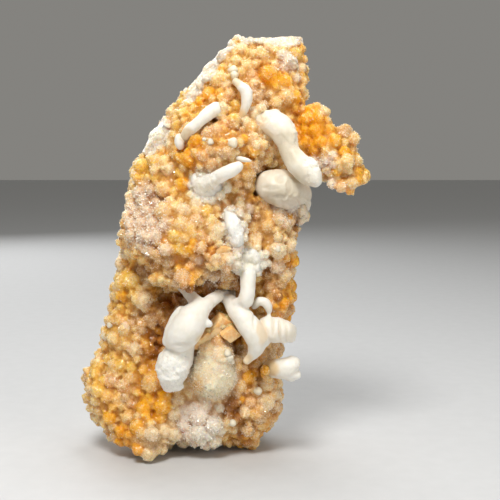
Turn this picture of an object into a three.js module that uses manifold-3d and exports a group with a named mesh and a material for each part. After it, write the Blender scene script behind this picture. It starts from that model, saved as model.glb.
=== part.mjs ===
// A hand specimen of flos ferri aragonite: white coral-like limbs of aragonite on a stone that is
// crusted in front with orange grape-like lumps and broken white at the back.
// Millimetres, +Z up, the crusted face towards -Y. It stands on its lowest lumps, which are worn flat.
import * as THREE from "three";
import { mergeVertices } from "three/addons/utils/BufferGeometryUtils.js";
import Module from "manifold-3d";

const wasm = await Module();
wasm.setup();

// Driving dimensions.
const HEIGHT = 88;
const SOCKET_GAP = 0.3;
const STONE_RINGS = 22;
const STONE_SIDES = 24;
const STONE_SQUARENESS = 2.7;
const STONE_ROUGHNESS = 0.5;
const LIMB_SIDES = 8;
const LIMB_STEP = 2.9;
const LIMB_UNEVENNESS = 0.05;
const LIMB_TOLERANCE = 0.1;
const CAP_RINGS = 2;
const NAMED_LUMP = { sides: 7, rings: 5 };
const FILL_LUMP = { sides: 6, rings: 4 };
const BEAD_LUMP = { sides: 5, rings: 4 };
const SMALL_SWELLING = 6;
const RELIEF_TOLERANCE = 0.3;
const LUMP_TOLERANCE = 0.26;
const LUMP_SINK = 0.42;
const LUMP_SPACING = 0.82;
const FILL_LUMPS = 58;
const FILL_RADII = [1.5, 2.6];
const FILL_HEIGHTS = [2, 82];
const FILL_SWING = 118;
const FILL_BACK_LIMIT = 5;
const FILL_TRIES = 1500;
const FAR = 120;
const SEED = 41;

const CRUST_COLOUR = 0xdcae6c;
const ARAGONITE_COLOUR = 0xf4efe4;
const CRUST_ROUGHNESS = 0.55;
const ARAGONITE_ROUGHNESS = 0.5;

// The stone without its lumps: height, left edge, right edge, front and back.
const STONE_LEVELS = [
  [1.2, -13.0, 4.0, -6.0, 10.0],
  [4.0, -20.5, 8.0, -10.0, 14.5],
  [8.0, -26.0, 11.0, -11.0, 17.0],
  [13.0, -28.0, 12.2, -11.5, 18.5],
  [19.0, -26.6, 12.8, -11.5, 19.2],
  [26.0, -24.6, 13.6, -10.5, 19.6],
  [34.0, -22.8, 14.6, -10.5, 20.0],
  [40.0, -22.4, 15.0, -14.0, 19.4],
  [50.0, -20.5, 14.6, -15.0, 18.4],
  [60.0, -19.4, 16.4, -13.5, 17.0],
  [68.0, -15.2, 16.6, -11.5, 15.5],
  [76.0, -8.6, 18.4, -8.5, 13.5],
  [84.0, -1.6, 18.0, -5.0, 11.0],
  [HEIGHT, 2.0, 17.2, -2.0, 8.5],
];

// Swellings that give the stone its main relief: centre, then half width, depth and height.
const SWELLINGS = {
  ledge: [-8, -9, 46.5, 13, 9.5, 9],
  ledge_lip_left: [-11.5, -13, 38.6, 4.2, 4, 3.4],
  ledge_lip_middle: [-6.2, -15.5, 38.6, 3.8, 3.4, 3],
  ledge_lip_right: [0.5, -15.5, 42.4, 4.4, 3.6, 3],
  left_shoulder: [-14.4, -4, 52, 5.8, 8.5, 11],
  brow: [0, -8, 63.5, 11, 9, 10],
  right_ridge: [11.4, -6, 46, 4.4, 8, 12],
  right_wall: [11, -5, 33, 4.4, 7, 7],
  left_flank: [-21, -2, 13, 9, 8.8, 10],
  left_flank_middle: [-19.4, -2, 25, 7, 8, 7.5],
  left_flank_top: [-18.2, -2, 34.5, 6, 7.2, 7.5],
  dome: [-1.7, -11.3, 19.4, 5.7, 6, 6.7],
  dome_shoulder: [-2.4, -9.6, 26.4, 4.6, 5.4, 3.6],
  druse_bank: [-4, -7, 7.5, 8, 5.4, 5.6],
  right_bank: [6.6, -3, 11.5, 6.6, 7.6, 8],
  right_foot: [5.4, -2.5, 3.8, 3.6, 4.6, 4.3],
  left_foot: [-15.2, -9.4, 5.4, 5, 5.2, 5.9],
  left_foot_outer: [-20.4, -6, 5.6, 4.6, 4.8, 4],
  back_left_foot: [-13, 8, 3.4, 5.5, 5, 3.9],
  back_right_foot: [3, 9, 3.4, 4.5, 4.5, 3.9],
};

// The side branch, thickly coated with orange lumps, that leaves the stone at the upper right.
const SPUR_SWELLINGS = {
  root: [16.2, -4, 65.5, 4.2, 4.4, 5.4],
  upper_lobe: [19.4, -5, 69.6, 3.8, 4, 4.2],
  middle_lobe: [21.3, -5.6, 65, 4.2, 4.2, 4.6],
  outer_lobe: [25.3, -4.2, 66.2, 3, 3.3, 3.3],
  lower_lobe: [24.4, -5.8, 61.2, 4.8, 4.2, 4.2],
  inner_lobe: [19.8, -5, 60.8, 3.6, 3.8, 3.6],
  outer_corner: [27.6, -5, 60, 2.5, 3, 2.9],
  tip: [25.8, -6, 57.6, 2.6, 2.6, 2.4],
};

// Hollows in the front: centre, then half width, depth and height.
const HOLLOWS = {
  under_ledge: [-2.5, -13.5, 34.6, 8.6, 9, 4.4],
  under_ledge_left: [-12.6, -13.5, 33.8, 4.2, 6.5, 3.4],
  under_ledge_far_left: [-17.4, -12.4, 39.4, 3.4, 4.6, 2.2],
  beside_trunk: [-13.6, -14, 25.6, 2.4, 6, 7],
  beside_dome: [3, -13, 24.6, 2.2, 6, 4],
  right_groove: [6.4, -18.5, 50.5, 1.6, 6, 9],
  under_brow: [6, -16.5, 63.4, 2.4, 3.4, 2.4],
  spur_notch: [22.2, -6, 70.6, 1.2, 9, 1.2],
  back_scoop: [-3, 22.5, 54, 9, 6, 12],
  back_low_scoop: [-12, 22, 22, 8, 6, 8],
  underside: [-5, 2, 0.4, 7, 6, 2.4],
};

// Broken faces of the white back and rim: a point on each, then its outward direction.
const FRACTURES = {
  back: [[0, 17.6, 40], [0.06, 1, 0.1]],
  back_top: [[4, 11.4, 76], [0.12, 0.86, 0.5]],
  back_left: [[-19.6, 10, 40], [-0.72, 0.68, 0.14]],
  back_lower_left: [[-24.5, 9, 14], [-0.6, 0.8, -0.05]],
  back_right: [[12.4, 10.5, 40], [0.83, 0.56, 0.02]],
  back_foot: [[-4, 14.8, 5], [0, 0.86, -0.5]],
  upper_left_rim: [[-6.2, 4, 80.2], [-0.7, 0.2, 0.68]],
  left_rim: [[-16.6, 5, 66], [-0.84, 0.34, 0.42]],
  top: [[9, 3, 87.6], [-0.05, 0.22, 0.97]],
};

// Steps broken out of the back along its layers: the middle of the step's floor, its width and height,
// then its lean and its turn about the height in degrees.
const STEPS = [
  [6, 12.4, 66, 24, 20, 5, -14],
  [-12, 13.6, 52, 14, 22, 2, 26],
  [2, 15, 45, 18, 16, -3, 4],
  [-17, 12.4, 29, 16, 15, 3, 34],
  [5, 14.6, 26, 22, 13, -4, -20],
  [-9, 15.4, 14, 20, 12, -8, 8],
];
const STEP_DEPTH = 12;

// Lumps that stand out on the front: left-right place, height and radius.
const FRONT_LUMPS = [
  [10.8, 78.2, 3.2],
  [13.6, 76.4, 2.2],
  [15.2, 73.6, 2.4],
  [11.6, 73.8, 2.6],
  [2.2, 83.6, 2.2],
  [7.4, 83.4, 2.4],
  [13.2, 83, 2.4],
  [0.4, 78.6, 2.2],
  [-6.4, 75.4, 2.4],
  [0.8, 74.6, 2.4],
  [-7.6, 71, 2.2],
  [7.6, 65.6, 2.8],
  [9.4, 61.6, 2.2],
  [-4.2, 62.8, 2.8],
  [0.4, 63.6, 2.6],
  [-13.2, 61.4, 3],
  [-10.8, 53, 2.8],
  [-14, 47.2, 2.6],
  [-6.4, 49, 2.6],
  [-1, 48.6, 2.4],
  [-6.9, 38.6, 2.5],
  [-1, 42.2, 2.2],
  [3.8, 53.2, 2.2],
  [12, 50, 2.6],
  [11.4, 44.6, 2.4],
  [13.6, 37.8, 2.2],
  [-16.7, 33.2, 3],
  [-20.2, 38, 3],
  [-21.6, 30.6, 2.4],
  [-17.9, 22.4, 2.6],
  [-22.3, 19.4, 2.6],
  [-26.4, 14.4, 2.8],
  [-19.6, 15, 2.6],
  [-14.4, 17, 3.1],
  [-15.1, 12.6, 2.6],
  [-11.4, 11.4, 2.8],
  [-20, 5.6, 2.2],
  [-23.6, 8.4, 2.2],
  [-14.2, 6.8, 2.4],
  [-9, 5.6, 2.2],
  [-4.6, 5, 2.2],
  [-1, 4.2, 2],
  [8.4, 10.4, 2.6],
  [10, 16.4, 2.4],
  [5.8, 5.4, 2.2],
  [20, 68.8, 2],
  [21.4, 62.6, 2.2],
  [25.4, 60.6, 2.2],
];

// Blocky crystals beside the limbs: place, edge and turn in degrees about each axis.
const BLOCKS = [
  [0.4, -12.4, 29.6, 3.6, 20, 12, 38],
  [2.4, -13, 27.4, 3.4, -14, 30, 20],
  [0.4, -16.4, 45.2, 2.8, 30, 20, 10],
  [3.6, -16.6, 43.2, 2.6, 10, 40, 30],
];

// White limbs in the order in which they grew into each other: each is a line of centres and radii.
const LIMBS = {
  left_trunk: [
    [-3.9, -15.4, 33.2, 2.3],
    [-5.4, -16.8, 30.8, 3.3],
    [-7.4, -17, 28, 3.8],
    [-9.2, -15.6, 25.6, 3],
    [-9.6, -14.4, 22.8, 3.5],
    [-10, -14, 19.6, 3.5],
    [-9.7, -13, 17, 2.2],
  ],
  left_trunk_near_arm: [
    [-9.4, -8, 37.2, 1.4],
    [-7.6, -11, 36, 1.4],
    [-5.6, -14, 34.8, 1.7],
  ],
  left_trunk_far_arm: [
    [2.6, -5.5, 36, 1.5],
    [0.2, -9, 35.4, 1.6],
    [-2.2, -13.2, 34.4, 1.9],
  ],
  right_stem: [
    [5.8, -12.4, 43.4, 2.5],
    [5.8, -14.4, 40.4, 1.8],
    [5.8, -15.2, 37, 1.6],
    [5.7, -15, 34.4, 1.8],
  ],
  right_spindle: [
    [0.8, -9.4, 34.6, 1.4],
    [2.6, -13, 32.6, 2],
    [4.8, -14.8, 29.4, 2.6],
    [6.4, -15, 26.4, 2.4],
    [6.8, -14, 23.6, 1.5],
    [6, -11.6, 21.2, 1],
  ],
  right_swirl: [
    [8.6, -12.6, 29, 2.4],
    [11.4, -13.8, 28.6, 2.5],
    [14.2, -14, 27.8, 1.8],
  ],
  right_curl: [
    [7.2, -11.8, 32.6, 0.9],
    [8.5, -13, 33.8, 0.9],
    [9.7, -13.2, 32.4, 0.9],
  ],
  low_right_finger: [
    [9.4, -8.6, 19.4, 1.7],
    [12, -11.4, 20, 1.9],
    [14.6, -12.6, 20.6, 1.5],
  ],
  low_right_thumb: [
    [11.6, -10, 17.9, 1.1],
    [14.6, -11, 17.7, 1.2],
  ],
  big_finger: [
    [8.4, -9.6, 69.8, 2.4],
    [10.8, -12.2, 68.6, 3],
    [12.8, -13.6, 65.4, 2.8],
    [14.4, -14.6, 61.8, 2.5],
    [16.6, -15.6, 59.6, 2.5],
    [17.8, -15.8, 58.5, 2],
  ],
  big_knob: [
    [9.6, -11.2, 57.4, 3.2],
    [12.4, -11.4, 57.2, 4],
    [15.4, -7.6, 55.4, 3.8],
  ],
  arched_finger: [
    [-7.6, -13.6, 66.8, 1.1],
    [-5.8, -15.6, 68.8, 1.4],
    [-3.4, -15.4, 70.8, 1.6],
    [-1, -13.6, 71.2, 1.5],
  ],
  high_finger: [
    [3.6, -11.2, 77.2, 1.2],
    [5.4, -12.4, 75, 1.4],
    [5.6, -12.6, 72.6, 1],
    [4.8, -12, 69.8, 0.7],
  ],
  middle_finger: [
    [-5, -15.6, 56.6, 2.2],
    [-1, -18, 58.2, 1.7],
    [1.7, -18.6, 59.6, 1.6],
    [3.6, -18.6, 60.8, 1.5],
  ],
  frosted_rib: [
    [1.8, -15.8, 52, 1.2],
    [3, -16.8, 49, 1.5],
    [3.8, -16, 46.4, 1.3],
  ],
  bead_under_arch: [
    [-8.2, -13, 66.4, 1],
    [-8, -13.4, 65.2, 1.2],
    [-7.7, -13, 64, 0.9],
  ],
  needle: [
    [4.6, -15.4, 62.4, 0.8],
    [5.6, -16.2, 62.8, 0.9],
    [6.9, -16.8, 62.8, 0.5],
  ],
};

// Small white beads, grown into the crust: left-right place and height.
const BEADS = [
  [2.6, 79.4],
  [-2.6, 66],
  [2.4, 65.6],
  [11.4, 46.8],
  [2.6, 21.4],
  [7.4, 14.2],
  [2.4, 8.2],
];
const BEAD_RADIUS = 1.1;

/** A seeded source of numbers from 0 to 1. */
function numbersFrom(seed) {
  let state = seed;
  return () => {
    state = (state + 0x6d2b79f5) | 0;
    let t = Math.imul(state ^ (state >>> 15), 1 | state);
    t = (t + Math.imul(t ^ (t >>> 7), 61 | t)) ^ t;
    return ((t ^ (t >>> 14)) >>> 0) / 4294967296;
  };
}

/** Slow bumps over space, from -1 to 1, for stone that isn't geometrically smooth. */
function waviness(point, scale) {
  const x = point.x / scale;
  const y = point.y / scale;
  const z = point.z / scale;
  const broad = Math.sin(x * 1.7 + z * 0.9) * Math.cos(y * 1.3 - z * 1.1);
  const fine = Math.sin(x * 3.1 - y * 2.3 + z * 2.9);
  return 0.65 * broad + 0.35 * fine;
}

/** A closed geometry as a solid that can be joined and cut. */
function solidOf(geometry) {
  const bare = geometry.clone();
  bare.deleteAttribute("normal");
  bare.deleteAttribute("uv");
  const merged = mergeVertices(bare, 1e-4);
  return new wasm.Manifold(
    new wasm.Mesh({
      numProp: 3,
      vertProperties: merged.attributes.position.array,
      triVerts: new Uint32Array(merged.index.array),
    }),
  );
}

/** The solid's surface as a geometry. */
function geometryOf(solid) {
  const mesh = solid.getMesh();
  const positions = new Float32Array(mesh.numVert * 3);
  for (let i = 0; i < mesh.numVert; i++) {
    const start = i * mesh.numProp;
    positions.set(mesh.vertProperties.subarray(start, start + 3), i * 3);
  }
  const geometry = new THREE.BufferGeometry();
  geometry.setAttribute("position", new THREE.BufferAttribute(positions, 3));
  geometry.setIndex(new THREE.BufferAttribute(mesh.triVerts, 1));
  geometry.computeVertexNormals();
  return geometry;
}

/** The largest of the bodies that a cut left. */
function largestBody(solid) {
  const bodies = solid.decompose();
  return bodies.reduce((a, b) => (a.volume() > b.volume() ? a : b));
}

/** Moves every vertex of a geometry by a function of its place. */
function reshape(geometry, move) {
  const positions = geometry.attributes.position;
  const point = new THREE.Vector3();
  for (let i = 0; i < positions.count; i++) {
    point.fromBufferAttribute(positions, i);
    move(point);
    positions.setXYZ(i, point.x, point.y, point.z);
  }
  return geometry;
}

/** The left, right, front and back of the stone at a height. */
function stoneLevel(height) {
  const above = STONE_LEVELS.findIndex((level) => level[0] >= Math.min(height, HEIGHT));
  const upper = Math.max(above, 1);
  const low = STONE_LEVELS[upper - 1];
  const high = STONE_LEVELS[upper];
  const share = THREE.MathUtils.clamp((height - low[0]) / (high[0] - low[0]), 0, 1);
  return low.map((value, i) => THREE.MathUtils.lerp(value, high[i], share)).slice(1);
}

/** The main body of the stone, lofted through its levels, with flat ends. */
function stoneBody() {
  const signedPower = (value) => Math.sign(value) * Math.abs(value) ** (2 / STONE_SQUARENESS);
  const geometry = new THREE.SphereGeometry(1, STONE_SIDES, STONE_RINGS);
  reshape(geometry, (point) => {
    const ring = Math.round((Math.acos(THREE.MathUtils.clamp(-point.y, -1, 1)) / Math.PI) * STONE_RINGS);
    const atEnd = ring === 0 || ring === STONE_RINGS;
    const share = THREE.MathUtils.clamp((ring - 1) / (STONE_RINGS - 2), 0, 1);
    const height = THREE.MathUtils.lerp(STONE_LEVELS[0][0], HEIGHT, share);
    const [left, right, front, back] = stoneLevel(height);
    const angle = Math.atan2(point.z, point.x);
    const reach = atEnd ? 0 : 1;
    const x = (left + right) / 2 + (reach * signedPower(Math.cos(angle)) * (right - left)) / 2;
    const y = (front + back) / 2 - (reach * signedPower(Math.sin(angle)) * (back - front)) / 2;
    point.set(x, y, height);
    const swell = STONE_ROUGHNESS * waviness(point, 6) * reach;
    point.x += swell * Math.cos(angle);
    point.y -= swell * Math.sin(angle);
  });
  return solidOf(geometry);
}

/** A rough round mass: its centre, then half width, depth and height. */
function swelling([x, y, z, width, depth, height], roughness = 0.08) {
  const fineness = Math.max(width, depth, height) < SMALL_SWELLING ? 1 : 2;
  const geometry = new THREE.IcosahedronGeometry(1, fineness);
  reshape(geometry, (point) => {
    const stretch = 1 + roughness * waviness(point.clone().addScalar(x + z), 0.8);
    point.set(point.x * width, point.y * depth, point.z * height).multiplyScalar(stretch);
    point.add(new THREE.Vector3(x, y, z));
  });
  return solidOf(geometry);
}

/** One crust lump, a slightly uneven ball that stands along the surface's normal. */
function lump({ centre, normal, radius, form }, chance) {
  const geometry = new THREE.SphereGeometry(radius, form.sides, form.rings);
  geometry.rotateY(chance() * Math.PI);
  geometry.scale(0.9 + 0.2 * chance(), 0.9 + 0.2 * chance(), 0.9 + 0.2 * chance());
  geometry.applyQuaternion(new THREE.Quaternion().setFromUnitVectors(new THREE.Vector3(0, 1, 0), normal));
  return solidOf(geometry.translate(...centre.toArray()));
}

/** A flat-faced crystal. */
function block([x, y, z, edge, ...turns]) {
  const geometry = new THREE.BoxGeometry(edge, edge * 0.9, edge * 0.8);
  const [a, b, c] = turns.map(THREE.MathUtils.degToRad);
  geometry.applyMatrix4(new THREE.Matrix4().makeRotationFromEuler(new THREE.Euler(a, b, c)));
  return solidOf(geometry.translate(x, y, z));
}

/** Cuts away everything outside the plane through a point. */
function chop(solid, [at, direction]) {
  const outward = new THREE.Vector3(...direction).normalize();
  const turn = new THREE.Quaternion().setFromUnitVectors(new THREE.Vector3(0, 0, 1), outward);
  const box = new THREE.BoxGeometry(2 * FAR, 2 * FAR, FAR);
  box.translate(0, 0, FAR / 2).applyQuaternion(turn);
  box.translate(...at);
  return solid.subtract(solidOf(box));
}

/** A round-ended limb through stations of centre and radius, grown by a margin where it cuts a socket. */
function limb(stations, margin = 0) {
  const spine = new THREE.CatmullRomCurve3(stations.map(([x, y, z]) => new THREE.Vector3(x, y, z)));
  const spans = Math.max(3, Math.ceil(spine.getLength() / LIMB_STEP));
  const frames = spine.computeFrenetFrames(spans, false);
  const rings = spans + 2 * CAP_RINGS;
  const geometry = new THREE.SphereGeometry(1, LIMB_SIDES, rings);
  const last = stations.length - 1;
  reshape(geometry, (point) => {
    const ring = Math.round((Math.acos(THREE.MathUtils.clamp(point.y, -1, 1)) / Math.PI) * rings);
    const step = THREE.MathUtils.clamp(ring - CAP_RINGS, 0, spans);
    const beyond = ring - CAP_RINGS - step;
    const latitude = (beyond / CAP_RINGS) * (Math.PI / 2);
    const along = spine.getUtoTmapping(step / spans) * last;
    const station = Math.min(Math.floor(along), last - 1);
    const radius = THREE.MathUtils.lerp(stations[station][3], stations[station + 1][3], along - station);
    const angle = Math.atan2(point.z, point.x);
    const knobble = Math.cos(latitude) * Math.sin(3 * angle + 1.7 * step) * Math.cos(1.3 * step);
    const reach = radius * (1 + LIMB_UNEVENNESS * knobble) + margin;
    const centre = spine.getPointAt(step / spans);
    point.copy(centre);
    point.addScaledVector(frames.normals[step], reach * Math.cos(latitude) * Math.cos(angle));
    point.addScaledVector(frames.binormals[step], reach * Math.cos(latitude) * Math.sin(angle));
    point.addScaledVector(frames.tangents[step], reach * Math.sin(latitude));
  });
  const solid = solidOf(geometry);
  if (solid.volume() > 0) return solid;
  geometry.index.array.reverse();
  return solidOf(geometry);
}

/** Where a ray first meets the solid, with the outward normal there, or null. */
function surfaceFinder(solid) {
  const target = new THREE.Mesh(geometryOf(solid), new THREE.MeshBasicMaterial({ side: THREE.DoubleSide }));
  const caster = new THREE.Raycaster();
  return (from, towards) => {
    caster.set(from, towards.clone().normalize());
    const hit = caster.intersectObject(target)[0];
    return hit ? { point: hit.point, normal: hit.face.normal } : null;
  };
}

/** The point on the front of the stone at a place and height. */
function onFront(find, x, z) {
  const hit = find(new THREE.Vector3(x, -FAR, z), new THREE.Vector3(0, 1, 0));
  if (!hit) throw new Error(`nothing in front at ${x}, ${z}`);
  return hit;
}

/** Joins the named lumps and a seeded fill of smaller ones to the stone. */
function withLumps(stone, chance) {
  const find = surfaceFinder(stone);
  const placed = [];
  const sunk = ({ point, normal }, radius) => point.clone().addScaledVector(normal, -LUMP_SINK * radius);
  for (const [x, z, radius] of FRONT_LUMPS) {
    const hit = onFront(find, x, z);
    placed.push({ centre: sunk(hit, radius), normal: hit.normal, radius, form: NAMED_LUMP });
  }
  const named = placed.length;
  for (let i = 0; i < FILL_TRIES && placed.length < named + FILL_LUMPS; i++) {
    const height = THREE.MathUtils.lerp(...FILL_HEIGHTS, chance());
    const [left, right, front, back] = stoneLevel(height);
    const axis = new THREE.Vector3((left + right) / 2, (front + back) / 2, height);
    const swing = THREE.MathUtils.degToRad((chance() * 2 - 1) * FILL_SWING);
    const outward = new THREE.Vector3(Math.sin(swing), -Math.cos(swing), 0);
    const radius = THREE.MathUtils.lerp(...FILL_RADII, chance());
    const hit = find(axis.clone().addScaledVector(outward, FAR), outward.clone().negate());
    if (!hit || hit.point.y > FILL_BACK_LIMIT) continue;
    const centre = sunk(hit, radius);
    const near = (other) => other.centre.distanceTo(centre) < LUMP_SPACING * (other.radius + radius);
    if (!placed.some(near)) placed.push({ centre, normal: hit.normal, radius, form: FILL_LUMP });
  }
  for (const [x, z] of BEADS) {
    const hit = onFront(find, x, z);
    const centre = hit.point.clone().addScaledVector(hit.normal, BEAD_RADIUS / 2);
    placed.push({ centre, normal: hit.normal, radius: BEAD_RADIUS, form: BEAD_LUMP });
  }
  return placed.reduce((joined, shape) => joined.add(lump(shape, chance)), stone);
}

/** The same solid with needless facets merged, to within a tolerance. */
function withFewerFacets(solid, tolerance) {
  return solid.asOriginal().simplify(tolerance);
}

/** The space of one step that broke out of the back. */
function brokenStep([x, y, z, width, height, lean, turn]) {
  const box = new THREE.BoxGeometry(width, STEP_DEPTH, height);
  box.translate(0, STEP_DEPTH / 2, 0);
  box.rotateX(THREE.MathUtils.degToRad(lean)).rotateZ(THREE.MathUtils.degToRad(turn));
  return solidOf(box.translate(x, y, z));
}

/** The stone with its relief, spur, lumps and broken faces, before the limbs' sockets are cut. */
function crustedStone(chance) {
  let stone = stoneBody();
  for (const shape of Object.values(FRACTURES)) stone = chop(stone, shape);
  for (const shape of STEPS) stone = stone.subtract(brokenStep(shape));
  for (const shape of Object.values(SWELLINGS)) stone = stone.add(swelling(shape));
  for (const shape of Object.values(HOLLOWS)) stone = stone.subtract(swelling(shape));
  for (const shape of Object.values(SPUR_SWELLINGS)) stone = stone.add(swelling(shape, 0.12));
  stone = withFewerFacets(largestBody(stone), RELIEF_TOLERANCE);
  stone = withLumps(stone, chance);
  for (const shape of BLOCKS) stone = stone.add(block(shape));
  stone = withFewerFacets(stone, LUMP_TOLERANCE);
  return chop(stone, [[0, 0, 0], [0, 0, -1]]);
}

const chance = numbersFrom(SEED);
let stone = crustedStone(chance);

const limbs = new Map();
for (const [name, stations] of Object.entries(LIMBS)) {
  let solid = limb(stations);
  for (const earlier of limbs.keys()) solid = solid.subtract(limb(LIMBS[earlier], SOCKET_GAP));
  limbs.set(name, withFewerFacets(largestBody(solid), LIMB_TOLERANCE));
  stone = stone.subtract(limb(stations, SOCKET_GAP));
}
stone = largestBody(stone);

const crustMaterial = new THREE.MeshStandardMaterial({
  color: CRUST_COLOUR,
  roughness: CRUST_ROUGHNESS,
  metalness: 0,
});
const aragoniteMaterial = new THREE.MeshStandardMaterial({
  color: ARAGONITE_COLOUR,
  roughness: ARAGONITE_ROUGHNESS,
  metalness: 0,
});

const specimen = new THREE.Group();
const addPiece = (name, solid, material) => {
  const piece = new THREE.Mesh(geometryOf(solid), material);
  piece.name = name;
  specimen.add(piece);
};
addPiece("crusted_stone", stone, crustMaterial);
for (const [name, solid] of limbs) addPiece(name, solid, aragoniteMaterial);

// The origin is at the middle of the footprint of the whole specimen, on the surface that it stands on.
const bounds = new THREE.Box3().setFromObject(specimen);
specimen.position.set(-(bounds.min.x + bounds.max.x) / 2, -(bounds.min.y + bounds.max.y) / 2, -bounds.min.z);

export default specimen;
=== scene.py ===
"""A hand specimen of flos ferri aragonite.

White coral-like limbs of aragonite grow out of a stone whose front is crusted with orange, sugary,
grape-like lumps. Its back and rims are broken pale stone. All sizes are in millimetres unless a
docstring says otherwise, and become metres where a mesh is made.
"""
from __future__ import annotations

import logging
import math
from dataclasses import dataclass, field, replace
from enum import Enum
from itertools import product
from typing import Any, Iterable, Iterator, Sequence

import bmesh
import bpy
import numpy as np
from mathutils import Euler, Matrix, Vector
from mathutils.bvhtree import BVHTree
from mathutils.kdtree import KDTree


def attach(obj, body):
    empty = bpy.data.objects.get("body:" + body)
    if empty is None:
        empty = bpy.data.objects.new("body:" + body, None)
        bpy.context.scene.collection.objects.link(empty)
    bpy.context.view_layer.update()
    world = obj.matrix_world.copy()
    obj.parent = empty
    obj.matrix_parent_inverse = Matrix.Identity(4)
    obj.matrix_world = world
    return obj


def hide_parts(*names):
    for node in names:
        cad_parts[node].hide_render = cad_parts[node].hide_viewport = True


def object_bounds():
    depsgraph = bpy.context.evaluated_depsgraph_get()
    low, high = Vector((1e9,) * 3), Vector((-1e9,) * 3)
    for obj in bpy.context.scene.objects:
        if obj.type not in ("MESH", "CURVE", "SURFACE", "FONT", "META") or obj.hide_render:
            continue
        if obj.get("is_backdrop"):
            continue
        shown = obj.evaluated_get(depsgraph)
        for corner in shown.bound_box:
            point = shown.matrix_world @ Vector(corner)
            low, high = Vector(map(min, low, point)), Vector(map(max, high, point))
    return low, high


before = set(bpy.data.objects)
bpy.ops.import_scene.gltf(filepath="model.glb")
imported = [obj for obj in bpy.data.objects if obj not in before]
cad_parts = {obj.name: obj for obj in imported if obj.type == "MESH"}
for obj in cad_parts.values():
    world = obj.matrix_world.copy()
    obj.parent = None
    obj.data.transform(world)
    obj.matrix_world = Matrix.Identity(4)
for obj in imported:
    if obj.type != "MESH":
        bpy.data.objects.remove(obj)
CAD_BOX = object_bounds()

LOG = logging.getLogger("aragonite")
MM = 0.001
# The point that all places are measured from, as seen from the part's origin.
MEASURED_FROM = np.array([-0.013, 0.614, 0.0])

# Least radius of a limb.
LEAST_RADIUS = 0.2
# How many points are compared with all lumps at once, and every how many vertices a tint is read.
POINTS_AT_ONCE = 20000
TINT_STEP = 6

# What stirs the cells of a grid into random numbers.
HASH_FACTORS = np.array([73856093, 19349663, 83492791])
HASH_SEED = 668265263
HASH_SPREAD = 1274126177
HASH_BITS = 0xFFFF
# How crisp the edges of broken faces are, and how much the faces differ in height and in tilt.
FACE_CRISPNESS = 20.0
FACE_LEVEL = 0.45
FACE_TILT = 3.0
# What a colour is multiplied by for the painted shade in the gaps between lumps, and what is added to
# that under frost.
GAP_SHADE = np.array([0.60, 0.38, 0.10])
GAP_SHADE_UNDER_FROST = np.array([0.06, 0.05, 0.1])
# How uneven the balls are that the lumps are made of, and how broad their bulges are, in radii.
BALL_UNEVENNESS = 0.2
BALL_BULGES = 1.6

Rows = np.ndarray
Thing = bpy.types.Object
Material = bpy.types.Material
Colour = tuple[float, float, float]
Place = tuple[float, float, float]
Route = Sequence[tuple[float, float, float, float]]
Spots = Sequence[tuple[float, float, float]]


def linear(colour: Colour) -> tuple[float, float, float, float]:
    """Turns a colour as seen on a screen into light values, with full alpha."""
    parts = [c / 12.92 if c <= 0.04045 else ((c + 0.055) / 1.055) ** 2.4 for c in colour]
    return (parts[0], parts[1], parts[2], 1.0)


class Tone(Enum):
    """All colours, as seen on a screen."""

    CHALK = (0.97, 0.935, 0.87)
    PALE = (0.98, 0.93, 0.81)
    VANILLA = (1.0, 0.925, 0.785)
    FROST = (0.97, 0.88, 0.80)
    SUGAR = (0.90, 0.77, 0.65)
    CREAM = (0.95, 0.84, 0.66)
    STRAW = (0.96, 0.80, 0.49)
    HONEY = (0.94, 0.74, 0.42)
    YELLOW = (0.95, 0.76, 0.32)
    AMBER = (0.97, 0.69, 0.03)
    ORANGE = (0.97, 0.67, 0.09)
    PEACH = (0.90, 0.68, 0.43)
    TAN = (0.80, 0.63, 0.42)
    # Rust serves real rust-brown lumps and also painted shade in recesses; umber is painted shade only.
    RUST = (0.67, 0.43, 0.16)
    UMBER = (0.48, 0.29, 0.10)
    SHADE = (0.82, 0.78, 0.71)
    LILAC = (0.86, 0.825, 0.79)
    GREY = (0.83, 0.81, 0.785)
    BUFF = (0.91, 0.84, 0.73)
    DIRT = (0.70, 0.58, 0.44)
    # Painted highlight and painted glint colours for the crust's raised places.
    GLAZE = (0.99, 0.91, 0.76)
    SPARKLE = (1.0, 0.97, 0.93)
    SYRUP = (0.86, 0.70, 0.50)
    CLEAR = (1.0, 0.96, 0.90)
    TOFFEE = (0.97, 0.73, 0.44)
    BISCUIT = (1.0, 0.86, 0.66)
    PORCELAIN = (0.945, 0.93, 0.895)
    IVORY = (0.92, 0.90, 0.85)
    RIME = (1.0, 0.98, 0.94)
    DAYLIGHT = (0.88, 0.87, 0.845)
    FLOOR = (0.78, 0.785, 0.79)
    FLOOR_GRAIN = (0.81, 0.815, 0.82)

    @property
    def light(self) -> Rows:
        """The colour as light values."""
        return np.array(linear(self.value)[:3])

    @property
    def full(self) -> tuple[float, float, float, float]:
        """The colour as light values with full alpha, for a node."""
        return linear(self.value)


@dataclass(frozen=True)
class Patch:
    """A soft-edged oval patch on the front, placed by where the photograph shows it.

    Attributes:
        tone: The colour that the patch has.
        u: Pixels from the photograph's left edge to its middle.
        v: Pixels from the photograph's top edge to its middle.
        width: Half its width in pixels.
        height: Half its height in pixels.
        strength: Share of the patch's own colour at its middle.
    """

    tone: Tone
    u: float
    v: float
    width: float
    height: float
    strength: float = 0.7

    def share(self, seen: Rows) -> Rows:
        """Gives the patch's share, from 0 to 1, at points of the photograph."""
        away = np.hypot((seen[:, 0] - self.u) / self.width, (seen[:, 1] - self.v) / self.height)
        return self.strength * fade(away, 1.3, 0.6)


def fade(values: Rows, low: float, high: float) -> Rows:
    """Rises smoothly from 0 at low to 1 at high, or falls where low is above high."""
    share = np.clip((values - low) / (high - low), 0.0, 1.0)
    return share * share * (3.0 - 2.0 * share)


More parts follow.
